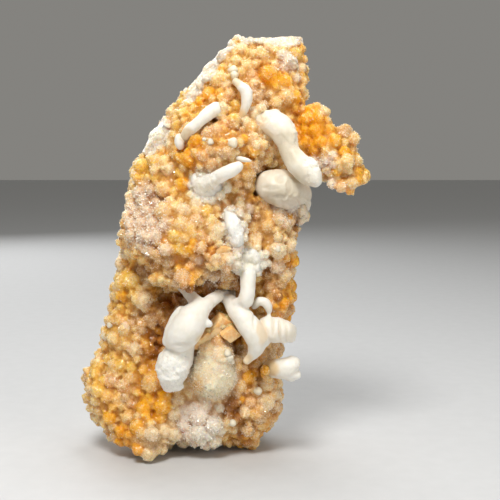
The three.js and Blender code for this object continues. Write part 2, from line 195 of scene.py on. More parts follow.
def hashed(cells: Rows, seed: int) -> Rows:
    """Gives a random number from 0 to 1 for each cell of a grid.

    Args:
        cells: Whole numbers that name each cell, one cell a row.
        seed: Number that picks the pattern.

    Returns:
        One value for each cell.
    """
    parts = cells * HASH_FACTORS
    mixed = parts[:, 0] ^ parts[:, 1] ^ parts[:, 2] ^ (seed * HASH_SEED)
    mixed = (mixed ^ (mixed >> 13)) * HASH_SPREAD
    return ((mixed >> 9) & HASH_BITS) / HASH_BITS


def facets(points: Rows, size: float, seed: int) -> Rows:
    """Gives the height of a surface that is broken into small flat faces.

    Args:
        points: Places, one a row.
        size: Distance between the middles of two faces.
        seed: Number that picks the pattern.

    Returns:
        One height for each point, mostly from -1 to 1.
    """
    scaled = points / size
    cell = np.floor(scaled).astype(np.int64)
    total, weights = np.zeros(len(points)), np.full(len(points), 1e-12)
    for corner in product((-1, 0, 1), repeat=3):
        at = cell + np.array(corner)
        jitter = np.column_stack([hashed(at, seed + k) for k in (1, 2, 3)])
        tilt = np.column_stack([hashed(at, seed + k) for k in (4, 5, 6)])
        gap = scaled - at - jitter
        weight = np.exp(-FACE_CRISPNESS * (gap**2).sum(axis=1))
        level = 2.0 * hashed(at, seed + 7) - 1.0
        slope = FACE_TILT * tilt - FACE_TILT / 2
        total += weight * (FACE_LEVEL * level + (gap * slope).sum(axis=1))
        weights += weight
    return total / weights


def noise_at(points: Rows, size: float, seed: int) -> Rows:
    """Gives smooth random values from -1 to 1 over space.

    Args:
        points: Places, one a row.
        size: Distance over which the values change.
        seed: Number that picks the pattern.

    Returns:
        One value for each point.
    """
    scaled = points / size
    cell = np.floor(scaled).astype(np.int64)
    inside = scaled - cell
    blend = inside * inside * (3.0 - 2.0 * inside)
    total = np.zeros(len(points))
    for corner in product((0, 1), repeat=3):
        value = hashed(cell + np.array(corner), seed)
        total += value * np.prod(np.where(corner, blend, 1.0 - blend), axis=1)
    return 2.0 * total - 1.0


class Signal:
    """One output of a node, with operators: an expression on signals adds its Math nodes."""

    def __init__(self, nodes: "Nodes", node: bpy.types.Node, socket: bpy.types.NodeSocket) -> None:
        """Keeps the socket and the tree that it belongs to."""
        self.nodes = nodes
        self.node = node
        self.socket = socket

    def out(self, name: str) -> "Signal":
        """Gives another output of the same node, by name."""
        return Signal(self.nodes, self.node, self.nodes.socket(self.node.outputs, name))

    def _math(self, operation: str, *values: Any) -> "Signal":
        """Adds one Math node that works on the values in turn."""
        return self.nodes.add("ShaderNodeMath", {"operation": operation}, dict(enumerate(values)))

    def __add__(self, other: Any) -> "Signal":
        """Adds."""
        return self._math("ADD", self, other)

    __radd__ = __add__

    def __mul__(self, other: Any) -> "Signal":
        """Multiplies."""
        return self._math("MULTIPLY", self, other)

    __rmul__ = __mul__

    def __truediv__(self, other: Any) -> "Signal":
        """Divides."""
        return self._math("DIVIDE", self, other)

    def __sub__(self, other: Any) -> "Signal":
        """Takes other away."""
        return self._math("SUBTRACT", self, other)

    def __rsub__(self, other: Any) -> "Signal":
        """Takes this away from other."""
        return self._math("SUBTRACT", other, self)

    def between(self, low: float, high: float) -> "Signal":
        """Rises smoothly from 0 at low to 1 at high."""
        settings = {"interpolation_type": "SMOOTHSTEP"}
        sockets = {"Value": self, "From Min": low, "From Max": high}
        return self.nodes.add("ShaderNodeMapRange", settings, sockets)


class Nodes:
    """A shader or geometry node tree that is built node by node."""

    def __init__(self, tree: bpy.types.NodeTree) -> None:
        """Starts with whatever the tree holds."""
        self.tree = tree

    @staticmethod
    def socket(sockets: Any, key: int | str) -> bpy.types.NodeSocket:
        """Finds a socket by its place, or by its name among those in use."""
        if isinstance(key, int):
            return sockets[key]
        return next(s for s in sockets if s.name == key and s.enabled)

    def feed(self, node: bpy.types.Node, key: int | str, value: Any) -> None:
        """Sets a node's input to a value, or links it.

        Args:
            node: The node.
            key: The input's place or name.
            value: A plain value, a signal, or a list of signals for an input that takes several.
        """
        target = self.socket(node.inputs, key)
        if isinstance(value, Signal):
            self.tree.links.new(value.socket, target)
        elif isinstance(value, list):
            for signal in value:
                self.tree.links.new(signal.socket, target)
        else:
            target.default_value = value

    def add(self, kind: str, settings: dict[str, Any] | None = None,
            sockets: dict[int | str, Any] | None = None) -> Signal:
        """Adds any node.

        Args:
            kind: The node's type.
            settings: Its settings, which are set first.
            sockets: Values, signals or lists of signals for its inputs.

        Returns:
            The node's first output in use.
        """
        node = self.tree.nodes.new(kind)
        for name, value in (settings or {}).items():
            setattr(node, name, value)
        for key, value in (sockets or {}).items():
            self.feed(node, key, value)
        outputs = [s for s in node.outputs if s.enabled]
        return Signal(self, node, outputs[0] if outputs else None)


class Finish(Nodes):
    """A material that is built from shader nodes on one Principled shader."""

    def __init__(self, name: str, constants: dict[str, Any]) -> None:
        """Makes the material.

        Args:
            name: The material's name.
            constants: Values of the shader's sockets that are the same all over the surface.
        """
        self.material = bpy.data.materials.new(name)
        self.material.use_nodes = True
        super().__init__(self.material.node_tree)
        self.shader = self.tree.nodes["Principled BSDF"]
        for key, value in constants.items():
            self.feed(self.shader, key, value)
        self.place = self.add("ShaderNodeTexCoord").out("Object")

    def attribute(self, name: str, output: str = "Fac") -> Signal:
        """Reads a number that is stored on the mesh, or a colour where the output is Color."""
        return self.add("ShaderNodeAttribute", {"attribute_name": name}).out(output)

    def noise(self, size: float, detail: float = 3.0, roughness: float = 0.55) -> Signal:
        """Gives cloudy noise from 0 to 1 whose features are about a size across."""
        sockets = {"Vector": self.place, "Scale": 1.0 / (size * MM), "Detail": detail}
        return self.add("ShaderNodeTexNoise", {}, {**sockets, "Roughness": roughness})

    def cells(self, size: float) -> Signal:
        """Gives the distance within cells that are about a size across."""
        return self.add("ShaderNodeTexVoronoi", {}, {"Vector": self.place, "Scale": 1.0 / (size * MM)})

    def vectors(self, operation: str, first: Any, second: Any) -> Signal:
        """Works on two vectors."""
        return self.add("ShaderNodeVectorMath", {"operation": operation}, {0: first, 1: second})

    def faces(self, size: float) -> Signal:
        """Gives the height of flat crystal faces that tilt every way.

        Args:
            size: How large a face is.

        Returns:
            The height in millimetres.
        """
        cells = self.cells(size)
        away = self.vectors("SUBTRACT", self.place, cells.out("Position"))
        tilt = self.vectors("SUBTRACT", cells.out("Color"), (0.5, 0.5, 0.5))
        return self.vectors("DOT_PRODUCT", away, tilt).out("Value") / MM

    def mix(self, share: Signal | float, first: Any, second: Any, blend: str = "MIX") -> Signal:
        """Mixes two colours.

        Args:
            share: Share of the second, from 0 to 1.
            first: A colour or a signal.
            second: A colour or a signal.
            blend: How the second is laid over the first.

        Returns:
            The mixed colour.
        """
        node = self.add("ShaderNodeMix", {"data_type": "RGBA", "blend_type": blend})
        for key, value in (("Factor", share), ("A", first), ("B", second)):
            self.feed(node.node, key, value)
        return node.out("Result")

    def finish(self, colour: Signal, roughness: Signal | float, height: Signal) -> Material:
        """Feeds the shader.

        Args:
            colour: The base colour.
            roughness: How matt the surface is.
            height: Bump height.

        Returns:
            The finished material.
        """
        bump = self.add("ShaderNodeBump", {}, {"Height": height, "Distance": MM, "Strength": 1.0})
        self.feed(self.shader, "Base Color", colour)
        self.feed(self.shader, "Roughness", roughness)
        self.feed(self.shader, "Normal", bump)
        return self.material


class Fields(Nodes):
    """A Geometry Nodes tree with a mesh going in, named sizes, and a mesh coming out."""

    def __init__(self, name: str) -> None:
        """Makes the tree with its mesh input.

        Args:
            name: The tree's name.
        """
        super().__init__(bpy.data.node_groups.new(name, "GeometryNodeTree"))
        self.tree.interface.new_socket("Geometry", in_out="OUTPUT", socket_type="NodeSocketGeometry")
        self.tree.interface.new_socket("Geometry", in_out="INPUT", socket_type="NodeSocketGeometry")
        self.group_in = self.add("NodeGroupInput")
        self.values: dict[str, Any] = {}

    @property
    def mesh(self) -> Signal:
        """The mesh that goes in."""
        return self.group_in.out("Geometry")

    def size(self, name: str, value: float) -> Signal:
        """Adds a named number as an input, and keeps the value that it gets."""
        made = self.tree.interface.new_socket(name, in_out="INPUT", socket_type="NodeSocketFloat")
        self.values[made.identifier] = value
        return self.group_in.out(name)

    def read(self, name: str) -> Signal:
        """Reads a number that is stored on the mesh."""
        return self.add("GeometryNodeInputNamedAttribute", {"data_type": "FLOAT"}, {"Name": name})

    def random(self, low: float | Signal, high: float | Signal, seed: int) -> Signal:
        """Gives a random number for each element."""
        sockets = {"Min": low, "Max": high, "Seed": seed}
        return self.add("FunctionNodeRandomValue", {"data_type": "FLOAT"}, sockets)

    def keep(self, mesh: Signal, name: str, value: Any) -> Signal:
        """Stores a number on the mesh's points under a name."""
        settings = {"data_type": "FLOAT", "domain": "POINT"}
        sockets = {"Geometry": mesh, "Name": name, "Value": value}
        return self.add("GeometryNodeStoreNamedAttribute", settings, sockets)

    def scatter(self, spacing: Signal, density: Signal, chance: Signal, seed: int) -> Signal:
        """Strews points over the mesh.

        Args:
            spacing: Least distance between points, in metres.
            density: Most points for a square metre.
            chance: Share of the points that stays, from 0 to 1 over the mesh.
            seed: Fixed seed.

        Returns:
            The points. Their rotation that stands on the surface is the same node's other output.
        """
        sockets = {"Mesh": self.mesh, "Distance Min": spacing, "Density Max": density,
                   "Density Factor": chance, "Seed": seed}
        return self.add("GeometryNodeDistributePointsOnFaces", {"distribute_method": "POISSON"}, sockets)

    def turned(self, upright: Signal, lean: float, seed: int) -> Signal:
        """Turns each element about its own upright by chance, and leans it.

        Args:
            upright: The rotation that stands it up.
            lean: Largest angle that it leans by, in radians.
            seed: Fixed seed.

        Returns:
            Its rotation.
        """
        sockets = {"Min": (-lean, -lean, -math.pi), "Max": (lean, lean, math.pi), "Seed": seed}
        angles = self.add("FunctionNodeRandomValue", {"data_type": "FLOAT_VECTOR"}, sockets)
        spin = self.add("FunctionNodeEulerToRotation", {}, {0: angles})
        return self.add("FunctionNodeRotateRotation", {"rotation_space": "LOCAL"}, {0: upright, 1: spin})

    def choice(self, shapes: Iterable[Signal]) -> Signal:
        """Makes an instance of each shape, and joins them to pick from."""
        made = [self.add("GeometryNodeGeometryToInstance", {}, {"Geometry": shape}) for shape in shapes]
        return self.add("GeometryNodeJoinGeometry", {}, {"Geometry": made})

    def balls(self, roundness: int) -> Iterator[Signal]:
        """Makes four different uneven balls.

        Args:
            roundness: Subdivisions of each.

        Yields:
            Each ball.
        """
        for turn in range(4):
            ball = self.add("GeometryNodeMeshIcoSphere", {}, {"Radius": 1.0, "Subdivisions": roundness})
            place = self.add("GeometryNodeInputPosition")
            sockets = {"Vector": place, "W": 7.3 * turn, "Scale": BALL_BULGES, "Detail": 1.0}
            noise = self.add("ShaderNodeTexNoise", {"noise_dimensions": "4D"}, sockets)
            push = self.add("ShaderNodeVectorMath", {"operation": "SCALE"},
                            {0: place, "Scale": (noise - 0.5) * (2.0 * BALL_UNEVENNESS)})
            yield self.add("GeometryNodeSetPosition", {}, {"Geometry": ball, "Offset": push})

    def placed(self, points: Signal, shapes: Iterable[Signal], turn: Signal, scale: Signal) -> Signal:
        """Puts a shape on each point.

        Args:
            points: The points.
            shapes: The shapes, of which each point gets one by chance.
            turn: How each is turned.
            scale: How large each is.

        Returns:
            The shapes in their places.
        """
        sockets = {"Points": points, "Instance": self.choice(shapes), "Pick Instance": True,
                   "Rotation": turn, "Scale": scale}
        return self.add("GeometryNodeInstanceOnPoints", {}, sockets)

    def run(self, mesh: Signal, target: Thing, name: str, material: Material) -> Thing:
        """Ends the tree, runs it on an object and gives the result as a plain mesh object.

        Args:
            mesh: The signal that holds the result.
            target: The object whose mesh goes in. It stays as it was.
            name: The new object's name.
            material: What the result is made of.

        Returns:
            A new object with the result as its mesh.
        """
        real = self.add("GeometryNodeRealizeInstances", {}, {"Geometry": mesh})
        done = self.add("GeometryNodeSetMaterial", {}, {"Geometry": real, "Material": material})
        end = self.add("NodeGroupOutput")
        self.feed(end.node, 0, done)
        modifier = target.modifiers.new("fields", "NODES")
        modifier.node_group = self.tree
        for identifier, value in self.values.items():
            modifier[identifier] = value
        result = baked(target, name)
        target.modifiers.remove(modifier)
        return result


def linked(name: str, data: bpy.types.ID) -> Thing:
    """Makes an object that holds the data and puts it in the scene."""
    made = bpy.data.objects.new(name, data)
    bpy.context.scene.collection.objects.link(made)
    return made


def applied(source: Thing) -> bpy.types.Mesh:
    """Gives a plain copy of an object's mesh with its modifiers applied."""
    graph = bpy.context.evaluated_depsgraph_get()
    return bpy.data.meshes.new_from_object(source.evaluated_get(graph), depsgraph=graph)


def baked(source: Thing, name: str) -> Thing:
    """Gives a new object whose plain mesh is the source with its modifiers applied."""
    mesh = applied(source)
    mesh.name = name
    return linked(name, mesh)


def discard(thing: Thing) -> None:
    """Removes a helper object and its mesh."""
    mesh = thing.data
    bpy.data.objects.remove(thing)
    bpy.data.meshes.remove(mesh)


def with_modifier(source: Thing, kind: str, **settings: Any) -> Thing:
    """Applies one modifier.

    Args:
        source: The object, which gets the new mesh.
        kind: The modifier's type.
        **settings: Its settings.

    Returns:
        The same object.
    """
    modifier = source.modifiers.new(kind, kind)
    for key, value in settings.items():
        setattr(modifier, key, value)
    mesh = applied(source)
    source.modifiers.remove(modifier)
    old = source.data
    source.data = mesh
    bpy.data.meshes.remove(old)
    return source


def fused(source: Thing, voxel: float) -> Thing:
    """Fuses everything in the object into one closed skin with even faces."""
    return with_modifier(source, "REMESH", mode="VOXEL", voxel_size=voxel * MM, use_smooth_shade=True)


def softened(source: Thing, rounds: int, **settings: Any) -> Thing:
    """Evens the skin out."""
    return with_modifier(source, "SMOOTH", iterations=rounds, factor=0.5, **settings)


def thinned(source: Thing, triangles: int) -> Thing:
    """Merges faces where the skin is flattest.

    Args:
        source: The object.
        triangles: The most that may be left.

    Returns:
        The same object.
    """
    source.data.calc_loop_triangles()
    now = len(source.data.loop_triangles)
    if now <= triangles:
        return source
    return with_modifier(source, "DECIMATE", ratio=triangles / now, use_collapse_triangulate=True)


def shaped(name: str, shape: bmesh.types.BMesh) -> Thing:
    """Turns worked faces into an object's mesh.

    Args:
        name: The new object's name.
        shape: The faces, which are freed.

    Returns:
        The new object.
    """
    mesh = bpy.data.meshes.new(name)
    shape.to_mesh(mesh)
    shape.free()
    return linked(name, mesh)


def joined(name: str, parts: Iterable[Thing]) -> Thing:
    """Joins helper objects into one new object and removes them.

    Args:
        name: The new object's name.
        parts: The helpers.

    Returns:
        The new object.
    """
    target = bmesh.new()
    for part in parts:
        target.from_mesh(part.data)
        discard(part)
    return shaped(name, target)


def copied_node(name: str, node: str) -> Thing:
    """Gives a copy of a CAD node's mesh, with the faces joined at their edges.

    Args:
        name: The new object's name.
        node: The node's name.

    Returns:
        The new object.
    """
    target = bmesh.new()
    target.from_mesh(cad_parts[node].data)
    bmesh.ops.remove_doubles(target, verts=target.verts, dist=0.001 * MM)
    return shaped(name, target)


def strung(name: str, rows: Rows) -> Thing:
    """Makes a helper of loose points.

    Args:
        name: The new object's name.
        rows: Places and radii, one point a row.

    Returns:
        The points, with each radius stored as the thickness.
    """
    mesh = bpy.data.meshes.new(name)
    mesh.from_pydata(metres(rows[:, :3]).tolist(), [], [])
    made = linked(name, mesh)
    store(made, "thickness", rows[:, 3] * MM)
    return made


def surface_tree(thing: Thing) -> BVHTree:
    """Gives a search tree over an object's faces."""
    return BVHTree.FromObject(thing, bpy.context.evaluated_depsgraph_get())


def metres(places: Sequence[float] | Rows) -> Rows:
    """Turns measured places into metres from the part's origin."""
    return (np.asarray(places) + MEASURED_FROM) * MM


def measured(places: Sequence[float] | Rows) -> Rows:
    """Turns metres from the part's origin into measured places."""
    return np.asarray(places) / MM - MEASURED_FROM


def weigh(thing: Thing, name: str, weights: Rows) -> None:
    """Makes a vertex group with a weight from 0 to 1 for each vertex."""
    group = thing.vertex_groups.new(name=name)
    for i in np.nonzero(weights > 0.0)[0]:
        group.add([int(i)], float(weights[i]), "REPLACE")


def points_of(thing: Thing) -> Rows:
    """Gives the measured places of an object's vertices, one a row."""
    flat = np.empty(3 * len(thing.data.vertices))
    thing.data.vertices.foreach_get("co", flat)
    return measured(flat.reshape(-1, 3))


def place_points(thing: Thing, points: Rows) -> None:
    """Moves an object's vertices to measured places."""
    thing.data.vertices.foreach_set("co", metres(points).ravel())
    thing.data.update()


def normals_of(thing: Thing) -> Rows:
    """Gives the outward direction at each vertex, one a row."""
    flat = np.empty(3 * len(thing.data.vertices))
    thing.data.vertex_normals.foreach_get("vector", flat)
    return flat.reshape(-1, 3)


def edges_of(thing: Thing) -> Rows:
    """Gives the two vertices of each edge, one edge a row."""
    flat = np.empty(2 * len(thing.data.edges), dtype=np.int32)
    thing.data.edges.foreach_get("vertices", flat)
    return flat.reshape(-1, 2)


def averaged(values: Rows, edges: Rows, rounds: int) -> Rows:
    """Spreads values over a skin by averaging each vertex's neighbours again and again.

    Args:
        values: What is spread, one row a vertex.
        edges: The two vertices of each edge.
        rounds: How often it is averaged.

    Returns:
        The evened values.
    """
    count = np.bincount(edges.ravel(), minlength=len(values))
    count = np.maximum(count, 1)[:, None]
    for _ in range(rounds):
        total = np.empty_like(values)
        for column in range(values.shape[1]):
            one = values[:, column]
            total[:, column] = np.bincount(edges[:, 0], one[edges[:, 1]], len(values))
            total[:, column] += np.bincount(edges[:, 1], one[edges[:, 0]], len(values))
        values = total / count
    return values


def rise_of(thing: Thing, rounds: int) -> Rows:
    """Gives how far each vertex stands out of the skin around it.

    Args:
        thing: The skin.
        rounds: How far around it counts, in rounds of averaging.

    Returns:
        One height a vertex.
    """
    points = points_of(thing)
    level = averaged(points, edges_of(thing), rounds)
    return np.einsum("ij,ij->i", points - level, normals_of(thing))


def store(thing: Thing, name: str, values: Rows) -> None:
    """Stores a number for each vertex under a name."""
    made = thing.data.attributes.new(name, "FLOAT", "POINT")
    made.data.foreach_set("value", values.astype(np.float32))


def store_colour(thing: Thing, name: str, colours: Rows) -> None:
    """Stores a colour for each vertex under a name."""
    made = thing.data.attributes.new(name, "FLOAT_COLOR", "POINT")
    full = np.column_stack([colours, np.ones(len(colours))])
    made.data.foreach_set("color", full.astype(np.float32).ravel())


def blended(first: Rows, second: Rows, share: Rows) -> Rows:
    """Mixes two colours, or rows of them, by a share of the second for each row."""
    part = share[:, None]
    return first * (1.0 - part) + second * part


def strongest(patches: Iterable[Patch], seen: Rows) -> Rows:
    """Gives the largest share of any of the patches at points of the photograph."""
    return np.max([patch.share(seen) for patch in patches], axis=0)


def hand_over(piece: Thing, material: Material, slot: str, *nodes: str) -> None:
    """Gives a finished piece its material and puts it on the body.

    Args:
        piece: The piece.
        material: What it is made of.
        slot: Its material slot; not used.
        *nodes: The CAD nodes that it stands for.
    """
    piece.data.materials.clear()
    piece.data.materials.append(material)
    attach(piece, "root")
    if nodes:
        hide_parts(*nodes)
    piece.data.calc_loop_triangles()
    LOG.info("%s: %d triangles", piece.name, len(piece.data.loop_triangles))


def spine(stations: Route, step: float) -> Rows:
    """Gives closely spaced places and radii along a limb.

    Args:
        stations: Places and radii given one by one, from root to tip.
        step: About how far apart the places become.

    Returns:
        Rows of x, y, z and radius on a smooth curve through the stations.
    """
    given = np.array(stations)
    ends = np.vstack([2 * given[0] - given[1], given, 2 * given[-1] - given[-2]])
    rows = []
    for i in range(1, len(ends) - 2):
        before, start, end, after = ends[i - 1:i + 3]
        count = max(2, int(np.linalg.norm((end - start)[:3]) / step))
        t = np.linspace(0.0, 1.0, count, endpoint=False)[:, None]
        square = 2 * before - 5 * start + 4 * end - after
        cube = 3 * start - before - 3 * end + after
        rows.append(0.5 * (2 * start + (end - before) * t + square * t**2 + cube * t**3))
    rows.append(given[-1:])
    route = np.vstack(rows)
    route[:, 3] = np.maximum(route[:, 3], LEAST_RADIUS)
    return route


# Stations of the white limbs from root to tip: the pixel that the photograph shows each at, its
# distance from the middle towards the back in millimetres, and its radius in pixels.
LIMBS: dict[str, tuple[Route, ...]] = {
    "left_trunk": (
        [(207, 304.5, -15.6, 7.6), (200, 309, -16.4, 10.6), (194, 315.5, -16.8, 14),
         (190, 323, -17.2, 16.6), (186, 330, -17.4, 17.2), (181, 336, -17, 15.6),
         (177, 339, -16.6, 12)],
        [(182, 312, -16, 7), (176, 320, -16.4, 7), (172, 331, -16.6, 7.6), (169.5, 341, -16.2, 7)],
        [(185, 346, -14, 10.5), (179, 354, -14.4, 15.4), (175, 363, -14.8, 16.8),
         (172, 371, -14.6, 15.6), (171.5, 379, -14, 12), (171.5, 384, -13.8, 8)],
        [(166, 358, -14.6, 8.4), (163, 370, -14.6, 6.6), (182, 360, -15, 8.6), (180, 374, -15, 7)],
        [(166.5, 382, -14.2, 7), (171, 385, -14, 6.6), (177, 384, -14.2, 6.6)],
        [(203, 321, -17, 5), (209, 324, -17.4, 4.2)],
    ),
    "left_trunk_near_arm": (
        [(181.5, 285, -9.4, 5), (186, 290, -12, 5.3), (191.5, 297, -14.4, 6.4), (197, 304, -15.8, 8.6)],
    ),
    "left_trunk_far_arm": (
        [(231, 290.5, -7.4, 6), (224, 293.5, -10, 6.2), (215, 298.5, -13, 6.6),
         (206, 304.5, -15.4, 7.6)],
    ),
    "right_stem": (
        [(247, 258, -12, 9), (247.5, 270, -13.5, 8.5), (248, 281, -14.6, 8.2), (247.5, 292, -15.2, 8.2),
         (246, 300, -15.2, 8.4)],
        [(234, 263, -13.6, 5), (238, 257, -13.8, 6.4), (246, 254.5, -14, 7), (254, 256, -13.8, 6.8),
         (259.5, 262, -13.2, 5.4), (257, 268, -13.6, 4.8)],
        [(241, 266, -14.2, 5.5), (236, 269, -13.6, 4.6)],
        [(246, 301, -15, 7.5), (238, 304, -14.4, 6.5)],
    ),
    "right_spindle": (
        [(223, 296, -9.6, 5), (229, 301, -12, 6.5), (237, 311, -14, 9.5), (246, 322, -15, 11.5),
         (254, 333, -15.4, 12.3), (257, 343, -15.2, 10.5), (254, 352, -14.8, 7),
         (249.5, 358, -14.4, 4.2), (246.6, 361, -14.2, 4.2)],
        [(258, 338, -14.8, 9), (263, 341, -14.2, 7)],
    ),
    "right_swirl": (
        [(264, 330, -12.6, 11), (268.4, 328, -13.5, 13.2), (272.2, 328.5, -13.8, 10.4),
         (276, 329.5, -14, 13.5), (279.8, 330.5, -14, 10.4), (283.4, 331.5, -14, 12.6),
         (287, 333, -13.9, 9.2), (289, 333.5, -13.8, 8.4)],
        [(284, 330, -13.6, 8), (292, 328.5, -13.4, 5.2)],
        [(284, 335, -13.6, 8), (291, 338.3, -13.4, 5.2)],
        [(286, 333, -13.8, 7), (292, 333.5, -14, 5.4)],
    ),
    "right_curl": (
        [(255, 306, -12.4, 4), (258.5, 302, -13.2, 4.4), (263.5, 302, -13.6, 4.8),
         (267.5, 306, -13.4, 4.6), (269, 311, -13, 3.8)],
    ),
    "low_right_finger": (
        [(270, 369, -9.4, 8), (276, 368.5, -11, 9.4), (283, 368, -12, 10.6), (289, 366, -12.4, 9.6),
         (295, 362.5, -12.4, 6.4)],
        [(286, 366, -12, 7), (291, 359.5, -12.2, 4.4)],
    ),
    "low_right_thumb": (
        [(281, 371, -11.2, 7.6), (289, 373, -12, 7), (296, 374.5, -12, 5)],
        [(286, 373, -11.6, 5.6), (291.5, 377.5, -11.8, 4.2)],
    ),
    "big_finger": (
        [(259, 119, -8.6, 7), (266, 121, -10.4, 10.5), (274, 124, -12, 13), (282, 130, -13, 13.2),
         (287, 140, -13.8, 11.2), (289.5, 150, -14.4, 10.4), (295, 160, -14.8, 11.6),
         (303, 168, -15.2, 12.2), (310, 174.5, -15.6, 11), (314.5, 179.5, -15.8, 7.6)],
        [(268, 121, -11, 7), (275, 115, -11, 6.4), (263, 116, -9.6, 5)],
        [(303, 165, -15, 9), (309.5, 165.5, -15.2, 8.2)],
    ),
    "big_knob": (
        [(267, 185, -10.6, 12), (271, 186, -11.6, 16), (278, 187, -12, 18.4), (285, 189, -11.4, 18.4),
         (293, 191, -9.6, 16), (300, 194, -7.6, 12)],
        [(266, 180, -12.4, 8), (267, 191, -12.6, 9)],
        [(281, 178, -12.8, 8.4), (288, 184, -13, 9)],
        [(279, 197, -12.8, 10), (288, 201, -11.4, 8.6)],
        [(300, 194, -7, 10), (302, 203, -5.4, 8), (300, 212, -4, 6)],
    ),
    "arched_finger": (
        [(216, 109.5, -13.6, 6.6), (210, 112.5, -14.6, 6.4), (203, 118, -15.2, 6.2),
         (196, 124, -15.2, 6), (190, 130, -14.6, 5.6), (185.5, 136, -13.6, 5)],
    ),
    "high_finger": (
        [(236, 82, -11, 3.6), (240, 85, -12, 5), (245.5, 90, -12.6, 6), (247, 97, -12.6, 5.8),
         (246, 105, -12.4, 4.5), (243, 113, -12, 3.4), (241, 119, -11.6, 2.4)],
    ),
    "middle_finger": (
        [(202, 184, -14.6, 8), (209, 181.5, -15.8, 7.6), (217, 178, -17, 7.3), (225, 173.5, -17.8, 7),
         (232, 170, -18.3, 6.5), (238.5, 166.8, -18.6, 5.6)],
        [(197, 176, -13.5, 5), (198, 182, -14, 7.4), (202, 189, -14.2, 7.6), (210, 192, -14.4, 6.4),
         (218, 188, -14.7, 5)],
    ),
    "frosted_rib": (
        [(228, 211, -15, 4.2), (231, 219, -16, 6.6), (234.5, 228, -16.6, 7.8), (236.5, 237, -16.6, 8.2),
         (237, 243, -16, 7)],
    ),
    "bead_under_arch": (
        [(179.6, 137.5, -13.2, 3.8), (179.4, 141, -13.6, 5), (180.2, 145.5, -13.4, 3.8)],
    ),
    "needle": (
        [(238, 158.6, -15.6, 2.8), (243, 159.4, -16.2, 3.2), (248, 160.4, -16.6, 2.6),
         (252.6, 161.2, -16.8, 0.8)],
    ),
}

# Where frost lies on the white limbs; where they are stained by the crust; and where painted shade
# darkens the knob's lower and right sides and the big finger's middle.
LIMB_FROST: tuple[Patch, ...] = tuple(Patch(Tone.FROST, *row) for row in (
    (173, 374, 20, 19, 1.0), (247, 259, 20, 14, 1.0), (236, 228, 10, 22, 1.0), (205, 185, 15, 13, 1.0),
    (226, 291, 10, 8, 0.8), (312, 162, 9, 8, 0.7), (296, 370, 7, 14, 0.4), (296, 203, 16, 12, 0.8),
    (263, 118, 12, 9, 0.6), (312, 180, 8, 9, 0.4), (297, 133, 7, 16, 0.6),
))
LIMB_STAINS_AND_SHADE: tuple[Patch, ...] = tuple(Patch(*row) for row in (
    (Tone.CREAM, 259, 119, 9, 8, 0.4), (Tone.CREAM, 205, 187, 14, 11, 0.2),
    (Tone.PALE, 247, 262, 16, 9, 0.3), (Tone.CREAM, 186, 135, 8, 8, 0.6),
    (Tone.CREAM, 241, 117, 7, 8, 0.8), (Tone.CREAM, 236, 82, 6, 6, 0.6),
    (Tone.CREAM, 247, 361, 7, 7, 0.7), (Tone.CREAM, 271, 369, 7, 10, 0.9),
    (Tone.CREAM, 205, 344, 8, 12, 0.6), (Tone.CREAM, 262, 332, 5, 14, 0.5),
    # Painted shade in shade and lilac tones on the knob's lower and right sides and on the big finger's
    # middle.
    (Tone.SHADE, 282, 188, 34, 26, 0.3), (Tone.SHADE, 285, 201, 28, 10, 0.45),
    (Tone.SHADE, 300, 190, 15, 20, 0.5), (Tone.SHADE, 276, 198, 22, 9, 0.4),
    (Tone.LILAC, 292, 206, 16, 8, 0.8), (Tone.SHADE, 288, 146, 13, 18, 0.6),
    (Tone.PALE, 282, 140, 40, 60, 0.25), (Tone.CREAM, 282, 332, 18, 14, 0.14),
))

# Dents in the white limbs, whose colour is also darkened a little with painted shade.
LIMB_DENTS: tuple[Patch, ...] = tuple(Patch(Tone.SHADE, *row) for row in (
    (281, 179, 6, 4.5, 0.3), (271, 188, 9, 2.6, 0.22), (289, 187, 3, 9, 0.25),
    (281, 197, 10, 2.6, 0.25), (183, 345, 9, 2.2, 0.25), (272.2, 326, 1.5, 10, 0.4),
    (279.8, 330, 1.5, 10, 0.45), (286.6, 333, 1.4, 9, 0.35), (254, 322, 1.5, 9, 0.2),
))

# Limbs whose roots are ringed with small lumps.
COLLARED: tuple[str, ...] = (
    "arched_finger", "high_finger", "middle_finger", "big_finger", "big_knob", "frosted_rib",
    "right_stem", "low_right_finger", "low_right_thumb", "left_trunk_near_arm", "left_trunk_far_arm",
    "right_spindle",
)

# Blocky honey crystals: pixel place, depth, edge in pixels and turn in degrees.
BLOCKS: Sequence[tuple[float, float, float, float, float]] = [
    (221.5, 322, -12.6, 14, 24), (230, 332.5, -13.4, 14, 38), (222, 250, -16.6, 11, 12),
    (213.5, 262, -16.4, 12, 30), (215, 331, -12.6, 13, 16), (206, 337, -12.8, 14, 30),
    (199, 343, -12.6, 11, 12),
]

# Small white beads that stand on the crust: pixel place and radius in pixels.
BEADS: Spots = [
    (232.8, 70.5, 5.2), (234.4, 75.5, 4.6), (204.6, 139.6, 2.4), (210.6, 142, 3.4), (232.6, 142.8, 5),
    (110, 325, 3), (257.8, 391, 4.4), (232, 423, 4), (227, 353.5, 4.4), (229.5, 358, 4.2),
    (231.5, 361.5, 3), (278, 249, 3),
]

